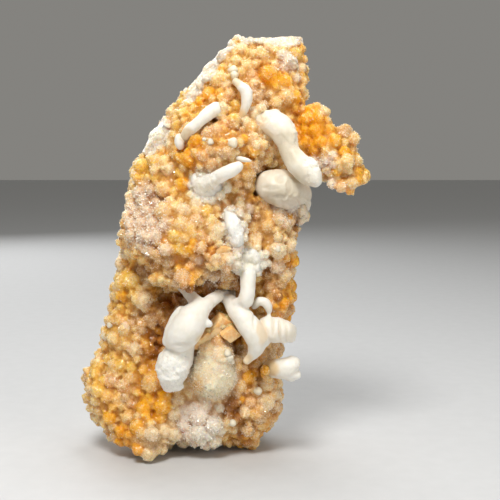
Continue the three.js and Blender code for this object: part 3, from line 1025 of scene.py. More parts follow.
# The crust's lumps that stand out in the photograph, by tone: pixel place and radius in pixels.
LUMPS: dict[Tone, Spots] = {
    Tone.CHALK: [
        (106, 336, 4.5), (214, 425, 9), (215, 441, 7), (221, 431, 5), (222, 281, 6), (212, 199, 5),
        (221, 195, 5), (228, 188, 4.5), (203, 199, 5), (226, 209, 4.5), (224, 219, 5), (229, 232, 5),
        (243, 226, 4.5), (245, 238, 5), (233, 246, 5), (244, 247, 5), (219, 408, 5), (213, 444, 5.5),
        (203, 445, 5), (199, 431, 10), (209, 434, 7),
    ],
    Tone.SUGAR: [
        (150, 191, 6), (138, 193, 6), (143, 201, 6), (135, 212, 6.5), (147, 212, 6), (130, 224, 6),
        (141, 224, 6), (152, 224, 6.5), (132, 236, 6.5), (143, 236, 6), (155, 236, 6.5), (163, 227, 6),
        (157, 203, 5.5), (141, 245, 5.5), (149, 250, 7), (165, 250, 6), (198, 259, 6), (277, 266, 8),
    ],
    Tone.FROST: [
        (282, 55, 5), (292, 64, 5.5), (284, 68, 4.5), (296, 78, 4.5), (289, 59, 4.5), (247, 209, 6),
        (332, 156, 5), (314, 158, 5), (327, 169, 5), (319, 164, 4.5), (325, 160, 4.5), (334, 164, 4.5),
        (205, 280, 8), (195, 407, 6.5), (186, 417, 7), (184, 424, 8), (195, 441, 6), (190, 434, 7),
        (193, 409, 8), (184, 409, 10), (205, 405, 7), (199, 417, 10), (206, 443, 7), (277, 209, 6),
        (126, 327, 5.5), (218, 204, 5), (209, 206, 5),
    ],
    Tone.CREAM: [
        (241, 50, 7), (261, 44, 5.5), (269, 48, 6.5), (302, 68, 5), (226, 86, 6), (259, 122, 7),
        (168, 169, 7), (136, 174, 6), (196, 204, 6.5), (183, 211, 8), (218, 199, 5.5), (218, 231, 7),
        (253, 239, 6), (355, 151, 7), (121, 263, 10), (126, 253, 6), (143, 300, 9.5), (135, 349, 7.5),
        (149, 453, 8), (163, 430, 9), (174, 433, 9), (174, 413, 8), (162, 449, 6), (183, 441, 7),
        (278, 250, 9), (288, 245, 8), (256, 238, 7), (266, 402, 9), (274, 394, 7), (246, 411, 8),
        (215, 236, 7), (226, 229, 5.5), (309, 106, 4.5), (278, 398, 5), (152, 434, 7.5), (209, 350, 12),
        (222, 356, 12), (256, 112, 5.5), (284, 275, 7), (267, 384, 7), (277, 383, 6), (254, 121, 6),
        (262, 128, 6), (266, 111, 4.5), (171, 423, 8), (168, 441, 8), (178, 400, 7), (177, 411, 7),
    ],
    Tone.STRAW: [
        (250, 53, 5), (263, 55, 6), (219, 80, 9), (303, 95, 6), (109, 297, 6.5), (347, 162, 8),
        (357, 161, 6), (113, 338, 6.5), (96, 400, 6), (260, 425, 5), (343, 144, 6), (234, 45, 5),
        (164, 161, 6), (189, 105, 6.5), (236, 61, 6), (226, 58, 7), (231, 70, 5), (241, 72, 5),
        (248, 66, 7), (137, 299, 6), (124, 330, 6),
    ],
    Tone.HONEY: [
        (306, 82, 5), (285, 97, 9), (276, 103, 6), (251, 128, 7), (261, 133, 7), (269, 143, 7.5),
        (267, 154, 7), (248, 174, 7), (269, 214, 6), (269, 226, 7.5), (251, 229, 6.5), (224, 192, 6.5),
        (216, 209, 6.5), (163, 189, 8), (163, 211, 9), (181, 224, 8), (184, 238, 7), (193, 234, 5),
        (113, 308, 6), (104, 316, 7), (120, 320, 6), (152, 297, 6), (137, 338, 5.5), (127, 357, 6),
        (131, 378, 7), (107, 396, 7), (117, 399, 6), (99, 410, 6), (142, 433, 6.5), (240, 386, 7),
        (254, 413, 6), (254, 433, 6), (262, 360, 6), (353, 139, 7), (237, 367, 6), (182, 224, 6),
        (129, 417, 7), (302, 110, 5), (236, 120, 6), (151, 383, 10),
    ],
    Tone.YELLOW: [
        (296, 54, 6.5), (208, 80, 6), (200, 87, 6), (235, 106, 6), (234, 119, 6), (181, 103, 5),
        (183, 114, 6), (178, 126, 6), (206, 211, 8), (181, 173, 6), (156, 177, 6), (143, 167, 9),
        (173, 192, 6), (176, 236, 8), (179, 248, 7), (364, 176, 7), (132, 281, 10), (121, 283, 7),
        (110, 360, 7), (121, 366, 8), (99, 366, 7), (96, 374, 7), (132, 367, 7), (98, 391, 7),
        (270, 250, 6), (91, 383, 5), (104, 381, 6),
    ],
    Tone.AMBER: [
        (285, 82, 8), (295, 97, 7), (199, 103, 6), (181, 158, 6), (244, 139, 4.5), (243, 149, 5),
        (254, 151, 6.5), (252, 186, 6), (183, 184, 8), (190, 249, 6), (331, 123, 6), (335, 141, 7),
        (344, 153, 7), (355, 173, 8), (337, 171, 5), (122, 294, 7), (144, 408, 8), (163, 406, 9),
        (165, 397, 7.5), (160, 417, 8), (109, 418, 7), (126, 424, 6), (137, 427, 8), (248, 377, 8),
        (240, 343, 5), (293, 261, 7), (293, 297, 6), (290, 286, 7), (288, 319, 5), (290, 311, 5),
        (275, 306, 3.5), (240, 399, 5), (289, 218, 4),
    ],
    Tone.ORANGE: [
        (269, 75, 10), (209, 95, 8), (196, 140, 7), (190, 158, 9), (311, 110, 6), (307, 119, 7),
        (319, 119, 6), (316, 131, 8), (306, 131, 5), (307, 142, 7), (320, 142, 7), (314, 150, 6),
        (329, 130, 6), (342, 183, 7), (331, 178, 6), (348, 189, 5), (121, 440, 7), (121, 431, 6),
        (138, 449, 7), (193, 242, 5), (284, 303, 6),
    ],
    Tone.PEACH: [
        (252, 75, 5.5), (229, 95, 6), (224, 103, 4.5), (226, 123, 5), (208, 133, 6.5), (216, 130, 6.5),
        (203, 156, 6), (211, 163, 7), (238, 183, 5.5), (241, 194, 5), (264, 204, 6.5), (226, 204, 6),
        (196, 221, 7), (209, 239, 6), (200, 236, 6), (201, 248, 6), (326, 181, 5), (112, 380, 9),
        (123, 386, 7), (130, 403, 6), (109, 428, 5), (217, 342, 7), (251, 402, 6), (270, 286, 7),
        (182, 277, 8), (190, 265, 6), (212, 269, 5), (227, 269, 5), (235, 176, 5), (339, 186, 5),
    ],
    Tone.TAN: [
        (288, 208, 6), (292, 217, 5), (297, 222, 5), (258, 96, 6.5), (263, 106, 5.5), (210, 151, 6),
        (226, 153, 6), (273, 163, 5), (254, 166, 5), (345, 132, 8), (143, 270, 7), (137, 314, 5),
        (148, 318, 5), (152, 324, 5), (142, 330, 5), (131, 324, 5), (141, 321, 5), (124, 397, 6),
        (115, 436, 5), (244, 355, 6), (229, 346, 5), (274, 406, 7), (260, 417, 7), (248, 430, 7),
        (269, 274, 6), (293, 274, 6), (281, 283, 6), (268, 353, 8), (278, 349, 7), (286, 346, 7),
        (168, 261, 7), (159, 258, 6), (171, 272, 6), (178, 283, 6),
    ],
    # Rust lumps are partly real rust-brown and partly painted shade in the groove and under the ledge.
    Tone.RUST: [
        (254, 90, 5), (254, 201, 5), (206, 227, 3), (234, 402, 7), (238, 417, 6), (228, 416, 6),
        (240, 435, 6), (246, 441, 6), (156, 264, 6), (149, 352, 7), (165, 308, 7), (278, 297, 5),
        (256, 216, 5),
    ],
}

# Lumps that stand off the stone around the limbs' roots and under the ledge: pixel place, distance
# from the middle towards the back in millimetres, and radius in pixels.
PERCHED: dict[Tone, Route] = {
    Tone.CHALK: [
        (226, 216, -15.2, 4.6), (244, 232, -15.4, 5), (229, 238, -15.2, 5), (233, 247, -14.6, 5),
        (236, 256, -14.6, 5.5), (233, 264, -14.2, 5), (241, 250, -14.6, 5), (261, 256, -14, 4.6),
        (262.5, 265, -13.8, 4.8), (239, 271, -14.2, 4.6), (258, 273, -13.6, 4), (197, 196, -14, 5),
        (204, 199, -14.2, 5.5), (212, 199, -14.4, 5.5), (220, 195, -14.8, 5), (227, 189, -15.2, 4.4),
        (192.5, 185, -13.4, 5), (194, 176, -13, 5), (201, 169, -13.6, 4.6),
    ],
    # The tan lumps under the ledge are darkened with painted shade.
    Tone.TAN: [(206, 273, -14.2, 6), (214, 275, -13.8, 6.5), (222, 273, -13.4, 6)],
    # The rust lumps under the ledge and in the gap above the knob are darkened with painted shade.
    Tone.RUST: [
        (234, 277, -12.6, 5), (221, 285, -11, 5.5), (230, 284, -11.4, 5.5), (238, 286, -11.2, 5.5),
        (213, 284, -10, 6), (204, 287, -9.8, 5.5), (240, 293, -10.8, 5), (198, 289, -9.4, 6),
        (208, 291, -9.4, 6), (192, 285, -9.4, 5), (256, 170, -10.8, 5), (261, 167.5, -10.6, 4.6),
    ],
    Tone.AMBER: [(265.5, 370, -11.8, 5.6), (357, 181, -7.4, 6)],
    Tone.FROST: [
        (332, 184, -7.2, 5), (243, 226, -16.2, 4.6), (244.5, 238, -16.4, 4.4), (239, 247, -16.2, 4.6),
        (226.5, 231, -15.8, 4.4), (227, 225, -16, 4), (230, 210.5, -15.4, 4.6), (240, 213, -15.2, 4.6),
    ],
    # The lilac lumps below the knob are greyed with painted shade.
    Tone.LILAC: [
        (293, 205, -10.4, 5), (297, 208, -8.5, 6), (301, 212, -6.8, 6), (299, 217, -7, 6),
        (304, 216, -5.2, 5),
    ],
    Tone.PEACH: [(341, 187, -7.6, 6)],
    Tone.ORANGE: [(350, 190, -7.4, 5)],
    Tone.CREAM: [
        (248, 246, -13.6, 6), (252, 240, -13.2, 5), (252, 250, -13, 5), (246, 218, -14.4, 5.5),
        (240, 206, -14, 5.5), (223, 237, -14.8, 5.5), (257, 247, -13.6, 5), (255, 114, -10.6, 6),
        (254, 122, -10.4, 5.5), (262, 109, -11, 5), (260, 129, -11.2, 5.5), (267, 136, -11.4, 5),
        (222, 107, -13.4, 5.5), (219, 114.5, -13.6, 4.8), (238, 121, -12.2, 4.8), (246, 121, -12.2, 5),
    ],
    Tone.HONEY: [
        (229, 276, -13, 5.5), (226, 285, -11.8, 5), (199, 280, -13.6, 6), (268, 377, -10.4, 5.5),
        (251, 187, -12, 5.5), (252, 178, -11.6, 5), (176, 287, -9.8, 5), (352, 183, -8, 6.5),
        (363, 180, -6.6, 5),
    ],
}

# Broader areas of colour that lie under and between the lumps. Some rust, umber and tan ones are painted
# shade in recesses, gaps and under the ledge.
PATCHES: tuple[Patch, ...] = tuple(Patch(*row) for row in (
    (Tone.HONEY, 110, 370, 40, 60, 0.5), (Tone.PEACH, 262, 400, 40, 50, 0.5),
    (Tone.PEACH, 285, 285, 22, 50, 0.5), (Tone.YELLOW, 205, 90, 34, 34, 0.5),
    (Tone.PEACH, 225, 130, 24, 14, 0.6), (Tone.ORANGE, 193, 152, 17, 16, 0.75),
    (Tone.ORANGE, 208, 98, 13, 9, 0.7), (Tone.STRAW, 236, 58, 14, 12, 0.6),
    (Tone.AMBER, 271, 77, 17, 13, 0.85), (Tone.TAN, 261, 100, 10, 13, 0.8), (Tone.TAN, 226, 152, 13, 9),
    (Tone.CREAM, 263, 140, 15, 22, 0.6), (Tone.RUST, 250, 195, 8, 32, 0.7),
    # The rust patch at 259, 169 is painted shade in the gap above the knob.
    (Tone.RUST, 259, 169, 8, 7, 0.9), (Tone.YELLOW, 146, 170, 20, 13),
    (Tone.YELLOW, 182, 240, 17, 13, 0.6), (Tone.PEACH, 205, 255, 32, 12, 0.6),
    (Tone.SUGAR, 146, 218, 25, 36, 0.8), (Tone.CHALK, 158, 135, 11, 16, 0.8),
    (Tone.CHALK, 208, 186, 21, 18, 0.9), (Tone.CREAM, 225, 200, 18, 12, 0.5),
    (Tone.CHALK, 235, 229, 15, 26, 0.85), (Tone.CHALK, 247, 262, 21, 15, 0.9),
    (Tone.FROST, 288, 65, 13, 11, 0.75), (Tone.CREAM, 282, 247, 16, 11), (Tone.AMBER, 291, 290, 8, 16),
    (Tone.RUST, 283, 304, 13, 9), (Tone.SUGAR, 288, 209, 14, 16, 0.75),
    # The rust patch at 297, 224 is painted shade below the knob.
    (Tone.RUST, 297, 224, 9, 16, 0.6), (Tone.ORANGE, 312, 128, 18, 27, 0.85),
    (Tone.HONEY, 348, 152, 16, 18, 0.7), (Tone.FROST, 321, 162, 13, 9, 0.8),
    # The rust patch at 142, 276 is painted shade under the ledge.
    (Tone.CREAM, 338, 182, 22, 12, 0.6), (Tone.RUST, 142, 276, 13, 10, 0.6),
    # Rust and umber painted shade in the recess under the ledge around the left trunk.
    (Tone.RUST, 190, 305, 28, 26, 0.95), (Tone.UMBER, 196, 298, 22, 12, 0.5),
    # The tan patch is painted shade in the cavity under the ledge.
    (Tone.TAN, 228, 283, 20, 14, 0.85), (Tone.SUGAR, 214, 281, 14, 8, 0.8),
    # The rust patch is painted shade in the groove on the left, and the umber one painted shade in the
    # gap left of the right spindle.
    (Tone.RUST, 157, 340, 11, 34, 0.95), (Tone.UMBER, 236, 338, 8, 15, 0.8),
    (Tone.STRAW, 112, 285, 14, 34, 0.6), (Tone.HONEY, 118, 314, 24, 32, 0.8),
    (Tone.YELLOW, 118, 318, 20, 24, 0.6), (Tone.YELLOW, 127, 287, 15, 13, 0.8),
    (Tone.HONEY, 126, 314, 28, 24, 0.5), (Tone.TAN, 143, 322, 17, 12, 0.8),
    (Tone.YELLOW, 108, 375, 22, 24, 0.6), (Tone.AMBER, 152, 390, 15, 18, 0.8),
    (Tone.AMBER, 150, 410, 22, 14, 0.7), (Tone.ORANGE, 124, 438, 16, 13, 0.8),
    # The rust patch at 140, 446 is painted shade at the left foot near the floor.
    (Tone.CREAM, 154, 440, 16, 16, 0.7), (Tone.RUST, 140, 446, 24, 10, 0.35),
    (Tone.CREAM, 173, 428, 15, 20, 0.85), (Tone.FROST, 196, 424, 24, 24, 0.9),
    (Tone.LILAC, 208, 422, 17, 22, 0.15), (Tone.VANILLA, 213, 373, 30, 34, 0.95),
    (Tone.HONEY, 204, 347, 10, 6, 0.5), (Tone.HONEY, 198, 383, 8, 9, 0.8),
    (Tone.CHALK, 216, 374, 12, 14, 0.3), (Tone.HONEY, 206, 339, 16, 11, 0.8),
    (Tone.RUST, 233, 408, 10, 18, 0.7), (Tone.ORANGE, 244, 440, 12, 7, 0.6),
))

# The cream dome of fine sugar, which has no lumps.
DOME = Patch(Tone.CREAM, 213, 374, 26, 29, 1.0)

# Where larger white crystals stand in tufts.
DRUSY: tuple[Patch, ...] = tuple(Patch(Tone.FROST, *row) for row in (
    (206, 420, 22, 22, 0.6), (322, 162, 11, 9, 0.8), (288, 65, 12, 11, 0.8), (145, 218, 22, 32, 0.7),
    (215, 200, 18, 8, 0.7), (222, 281, 12, 6, 0.7),
))

# Tones that have frost on them.
FROSTED: tuple[Tone, ...] = (Tone.CHALK, Tone.PALE, Tone.FROST, Tone.SUGAR, Tone.LILAC)

# Where the pale stone is bare of crust, seen from the front.
BARE: tuple[Patch, ...] = tuple(Patch(Tone.CHALK, *row, 1.0) for row in (
    (270, 36, 38, 9), (285, 42, 16, 6), (226, 46, 9, 9), (217, 55, 10, 10), (209, 65, 10, 10),
    (202, 75, 9, 10), (195, 86, 9, 10), (190, 96, 6, 8), (164, 126, 8, 9), (156, 136, 10, 11),
    (149, 147, 8, 9), (304, 212, 8, 24),
))


@dataclass(frozen=True)
class Viewpoint:
    """Where the photograph was taken from.

    Attributes:
        eye: The camera's place.
        drop: How far it looks down, in radians.
        reach: Focal length in pixels.
        middle: Pixels from the photograph's edges to its middle.
        focal: Focal length in millimetres on the sensor.
        sensor: Width of the sensor.
        distance: How far off a line of sight that misses the specimen is taken to end.
    """

    eye: Place = (5.8, -212.3, 63.8)
    drop: float = math.atan(0.099)
    reach: float = 1000.0
    middle: float = 250.0
    focal: float = 72.0
    sensor: float = 36.0
    distance: float = 210.0

    @property
    def axes(self) -> Rows:
        """Directions to the right, up and ahead, one a row."""
        down, along = math.sin(self.drop), math.cos(self.drop)
        return np.array([[1.0, 0.0, 0.0], [0.0, down, along], [0.0, along, -down]])

    def seen(self, points: Rows) -> Rows:
        """Gives the pixel at which the photograph shows each point."""
        local = (points - self.eye) @ self.axes.T
        scaled = local * (self.reach / local[:, 2:])
        return np.column_stack([self.middle + scaled[:, 0], self.middle - scaled[:, 1]])

    def ray(self, u: float, v: float) -> Rows:
        """Gives the direction from the camera through a pixel."""
        way = np.array([u - self.middle, self.middle - v, self.reach]) @ self.axes
        return way / np.linalg.norm(way)

    def station(self, u: float, v: float, y: float, radius: float) -> tuple[float, float, float, float]:
        """Turns a pixel, a depth and a radius in pixels into a place and a radius.

        Args:
            u: Pixels from the photograph's left edge.
            v: Pixels from its top edge.
            y: Distance from the middle towards the back.
            radius: Radius in pixels.

        Returns:
            x, y, z and the radius.
        """
        way = self.ray(u, v)
        place = self.eye + way * (y - self.eye[1]) / way[1]
        return (*place, radius * (y - self.eye[1]) / self.reach)

    def meets(self, tree: BVHTree, u: float, v: float) -> Rows:
        """Finds where the line of sight through a pixel meets a surface.

        Args:
            tree: Search tree over the surface.
            u: Pixels from the photograph's left edge.
            v: Pixels from its top edge.

        Returns:
            The place, or the nearest one on the surface where the line misses it.
        """
        eye, way = Vector(metres(self.eye)), Vector(self.ray(u, v))
        hit = tree.ray_cast(eye, way)[0]
        if hit is None:
            hit = tree.find_nearest(eye + way * self.distance * MM)[0]
        return measured(hit)

    def build(self) -> None:
        """Places the camera and makes it the scene's own."""
        data = bpy.data.cameras.new("camera")
        data.lens = self.focal
        data.sensor_width = self.sensor
        data.clip_start = 0.01
        camera = linked("camera", data)
        camera.location = Vector(metres(self.eye))
        camera.rotation_euler = (math.pi / 2 - self.drop, 0.0, 0.0)
        bpy.context.scene.camera = camera


VIEW = Viewpoint()


def limb_route(node: str, step: float) -> Rows:
    """Gives closely spaced places and radii of all of a limb's routes."""
    routes = [spine([VIEW.station(*station) for station in route], step) for route in LIMBS[node]]
    return np.vstack(routes)


@dataclass(frozen=True)
class Lamp:
    """One soft studio light.

    Attributes:
        name: What it is called.
        place: Where it stands.
        size: How wide it is.
        power: Its power in watts.
        colour: Its colour.
    """

    name: str
    place: Place
    size: float
    power: float
    colour: Colour = (1.0, 1.0, 1.0)

    def build(self, aim: Place) -> None:
        """Places the light and points it at the specimen.

        Args:
            aim: The place that it points at.
        """
        data = bpy.data.lights.new(self.name, "AREA")
        data.shape = "DISK"
        data.size = self.size * MM
        data.energy = self.power
        data.color = self.colour
        lamp = linked(self.name, data)
        lamp.location = Vector(self.place) * MM
        lamp.rotation_euler = (Vector(aim) - Vector(self.place)).to_track_quat("-Z", "Y").to_euler()


@dataclass(frozen=True)
class Studio:
    """The pale floor, the soft lights and the camera.

    Attributes:
        floor_size: Width of the floor.
        aim: The place that the lamps point at.
        lamps: The lamps.
        daylight: Strength of the even light from all sides.
    """

    floor_size: float = 4000.0
    aim: Place = (0.0, 0.0, 45.0)
    lamps: tuple[Lamp, ...] = (
        Lamp("key", (-50.0, -215.0, 320.0), 120.0, 1.08, (1.0, 0.985, 0.955)),
        Lamp("fill", (330.0, -300.0, 180.0), 300.0, 0.45, (1.0, 0.985, 0.96)),
        Lamp("top", (40.0, 40.0, 420.0), 200.0, 0.55),
        Lamp("back", (-200.0, 420.0, 260.0), 320.0, 0.9),
    )
    daylight: float = 0.31

    def build(self) -> None:
        """Makes the floor, the daylight, the lamps and the camera."""
        VIEW.build()
        for lamp in self.lamps:
            lamp.build(self.aim)
        scene = bpy.context.scene
        world = bpy.data.worlds.new("daylight")
        world.use_nodes = True
        backdrop = world.node_tree.nodes["Background"]
        backdrop.inputs["Color"].default_value = Tone.DAYLIGHT.full
        backdrop.inputs["Strength"].default_value = self.daylight
        scene.world = world
        scene.view_settings.view_transform = "Standard"
        scene.view_settings.look = "None"
        self._floor()

    def _floor(self) -> None:
        """Lays the pale floor."""
        half = self.floor_size * MM / 2
        corners = [(-half, -half, 0.0), (half, -half, 0.0), (half, half, 0.0), (-half, half, 0.0)]
        mesh = bpy.data.meshes.new("floor")
        mesh.from_pydata(corners, [], [(0, 1, 2, 3)])
        floor = linked("floor", mesh)
        finish = Finish("floor", {"Specular IOR Level": 0.3})
        grain = finish.noise(4.0)
        colour = finish.mix(grain, Tone.FLOOR.full, Tone.FLOOR_GRAIN.full)
        mesh.materials.append(finish.finish(colour, 0.75, grain * 0.02))
        floor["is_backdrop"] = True


@dataclass(frozen=True)
class Mineral:
    """What the crust and the broken stone are made of.

    Attributes:
        glow: Share of light that spreads below the surface.
        reach: How far it spreads.
        grain: Size of the sugar grains.
    """

    glow: float = 0.85
    reach: float = 1.5
    grain: float = 0.42

    def crust(self) -> Material:
        """Makes the honey and orange sugary crust, which takes its stains and painted shade from the
        mesh and paints highlights and glints on its raised places.
        """
        finish = Finish("sugary_crust", {
            "Subsurface Weight": self.glow, "Subsurface Scale": self.reach * MM,
            "Subsurface Radius": (1.0, 0.8, 0.55), "IOR": 1.53, "Specular IOR Level": 0.5,
        })
        stain = finish.attribute("stain", "Color")
        rise = finish.attribute("rise")
        cloud = finish.noise(1.6, 4.0, 0.6)
        speck = finish.noise(0.42, 2.0)
        grit = finish.noise(0.27, 1.0)
        # Colours of the painted highlights and painted glints.
        highlighted = finish.mix(0.5, stain, Tone.GLAZE.full)
        glinted = finish.mix(0.62, stain, Tone.SPARKLE.full)
        deeper = finish.mix(0.7, stain, Tone.SYRUP.full, "MULTIPLY")
        raised = rise.between(-0.8, 0.4)
        clean = 1.0 - finish.attribute("frosty") * 0.9
        # Painted highlights on the raised places from the cloud, the specks and the grit, the grit
        # giving white painted glints.
        colour = finish.mix(cloud.between(0.48, 0.8) * raised * 0.25, stain, highlighted)
        colour = finish.mix(cloud.between(0.48, 0.22) * 0.3, colour, deeper)
        colour = finish.mix(speck.between(0.52, 0.66) * raised * 0.5, colour, highlighted)
        colour = finish.mix(speck.between(0.46, 0.34) * clean * 0.45, colour, deeper)
        colour = finish.mix(grit.between(0.57, 0.66) * raised * 0.6, colour, glinted)
        colour = finish.mix(grit.between(0.44, 0.32) * clean * 0.3, colour, deeper)
        grains = (1.0 - finish.cells(self.grain)) * 0.05 + finish.faces(self.grain) * 0.8
        height = grains + finish.faces(2.4 * self.grain) * 0.45
        roughness = 0.08 + speck.between(0.35, 0.7) * 0.22
        return finish.finish(colour, roughness, height)

    def crystals(self) -> Material:
        """Makes the clear sugar grains, which take their colour from the crust below."""
        finish = Finish("sugar_grains", {
            "Subsurface Weight": 0.5, "Subsurface Scale": 0.4 * MM,
            "Subsurface Radius": (1.0, 0.8, 0.55), "IOR": 1.6, "Specular IOR Level": 1.0,
        })
        stain = finish.attribute("stain", "Color")
        cloud = finish.noise(0.8, 2.0)
        share = 0.3 + cloud * 0.4 + finish.attribute("frosty") * 0.15
        colour = finish.mix(share, stain, Tone.CLEAR.full)
        return finish.finish(colour, 0.05 + cloud * 0.15, cloud * 0.01)

    def blocks(self) -> Material:
        """Makes the honey blocks, clouded from toffee to biscuit."""
        finish = Finish("honey_blocks", {
            "Subsurface Weight": 0.4, "Subsurface Scale": self.reach * MM,
            "Subsurface Radius": (1.0, 0.7, 0.4), "IOR": 1.55, "Specular IOR Level": 0.5,
        })
        cloud = finish.noise(1.4, 4.0, 0.65)
        colour = finish.mix(cloud.between(0.35, 0.7), Tone.TOFFEE.full, Tone.BISCUIT.full)
        grain = finish.noise(0.3, 2.0)
        return finish.finish(colour, 0.3 + grain * 0.25, grain * 0.05 + finish.faces(0.6) * 0.12)


@dataclass(frozen=True)
class Porcelain:
    """The smooth white aragonite of the limbs.

    Attributes:
        glow: Share of light that spreads below the surface.
        reach: How far it spreads.
    """

    glow: float = 0.55
    reach: float = 1.8

    def limb(self) -> Material:
        """Makes the warm white limb surface, which is rougher where the mesh says it is frosted."""
        finish = Finish("white_aragonite", {
            "Subsurface Weight": self.glow, "Subsurface Scale": self.reach * MM,
            "Subsurface Radius": (1.0, 0.9, 0.75), "IOR": 1.53, "Specular IOR Level": 0.45,
        })
        frosted = finish.attribute("frosted")
        cloud = finish.noise(2.2, 4.0)
        white = finish.mix(cloud.between(0.35, 0.75), Tone.PORCELAIN.full, Tone.IVORY.full)
        white = finish.mix(frosted * 0.9, white, Tone.RIME.full)
        # Painted shade in small pits on the frosted parts.
        pit_shade = finish.noise(0.35, 1.0).between(0.36, 0.28) * frosted
        white = finish.mix(pit_shade * 0.2, white, Tone.SHADE.full)
        # The stored stains and painted shade multiply the white.
        colour = finish.mix(1.0, white, finish.attribute("stain", "Color"), "MULTIPLY")
        sugar = finish.faces(0.45) * (0.08 + frosted * 0.32)
        height = finish.noise(0.7, 3.0) * 0.04 + sugar
        roughness = 0.38 + frosted * 0.2 + cloud * 0.08
        return finish.finish(colour, roughness, height)


class Piece:
    """A piece of the specimen.

    Attributes:
        slot: Its material slot.
        nodes: The CAD nodes that it stands for.
    """

    slot: str = "crust"
    nodes: tuple[str, ...] = ()

    def dress(self, made: Thing, material: Material) -> None:
        """Gives the finished piece its material and hands it over."""
        hand_over(made, material, self.slot, *self.nodes)


@dataclass(frozen=True)
class Growth(Piece):
    """Small shapes that are strewn over a surface.

    Attributes:
        name: What they are called.
        where: The stored share that says where they grow.
        spacing: Least distance between two.
        sizes: Smallest and largest radius.
        seed: Fixed seed.
        crowding: Most of them in a square as wide as the spacing.
        lean: Largest angle that each leans by, in radians.
        tinted: Whether each stores a random number, for its colour.
    """

    name: str
    where: str
    spacing: float
    sizes: tuple[float, float]
    seed: int
    crowding: float = 1.2
    lean: float = 0.9
    tinted: bool = False

    def shapes(self, fields: Fields) -> Iterable[Signal]:
        """Makes the shapes that each place gets one of."""
        raise NotImplementedError

    def build(self, ground: Thing, material: Material) -> Thing:
        """Strews the shapes over a surface.

        Args:
            ground: What they grow on.
            material: What they are made of.

        Returns:
            All of them as one mesh.
        """
        fields = Fields(self.name)
        gap = fields.size("Spacing", self.spacing * MM)
        density = fields.size("Density", self.crowding / (self.spacing * MM) ** 2)
        least = fields.size("Smallest radius", self.sizes[0] * MM)
        most = fields.size("Largest radius", self.sizes[1] * MM)
        points = fields.scatter(gap, density, fields.read(self.where), self.seed)
        rotation = fields.turned(points.out("Rotation"), self.lean, self.seed + 2)
        if self.tinted:
            points = fields.keep(points, "tint", fields.random(0.0, 1.0, self.seed + 1))
        scale = fields.random(least, most, self.seed + 3)
        strewn = fields.placed(points, self.shapes(fields), rotation, scale)
        return fields.run(strewn, ground, self.name, material)


@dataclass(frozen=True)
class Lumps(Growth):
    """Uneven round lumps.

    Attributes:
        roundness: Subdivisions of each ball.
    """

    crowding: float = 1.4
    lean: float = 0.6
    tinted: bool = True
    roundness: int = 2

    def shapes(self, fields: Fields) -> Iterable[Signal]:
        """Makes the balls."""
        return fields.balls(self.roundness)


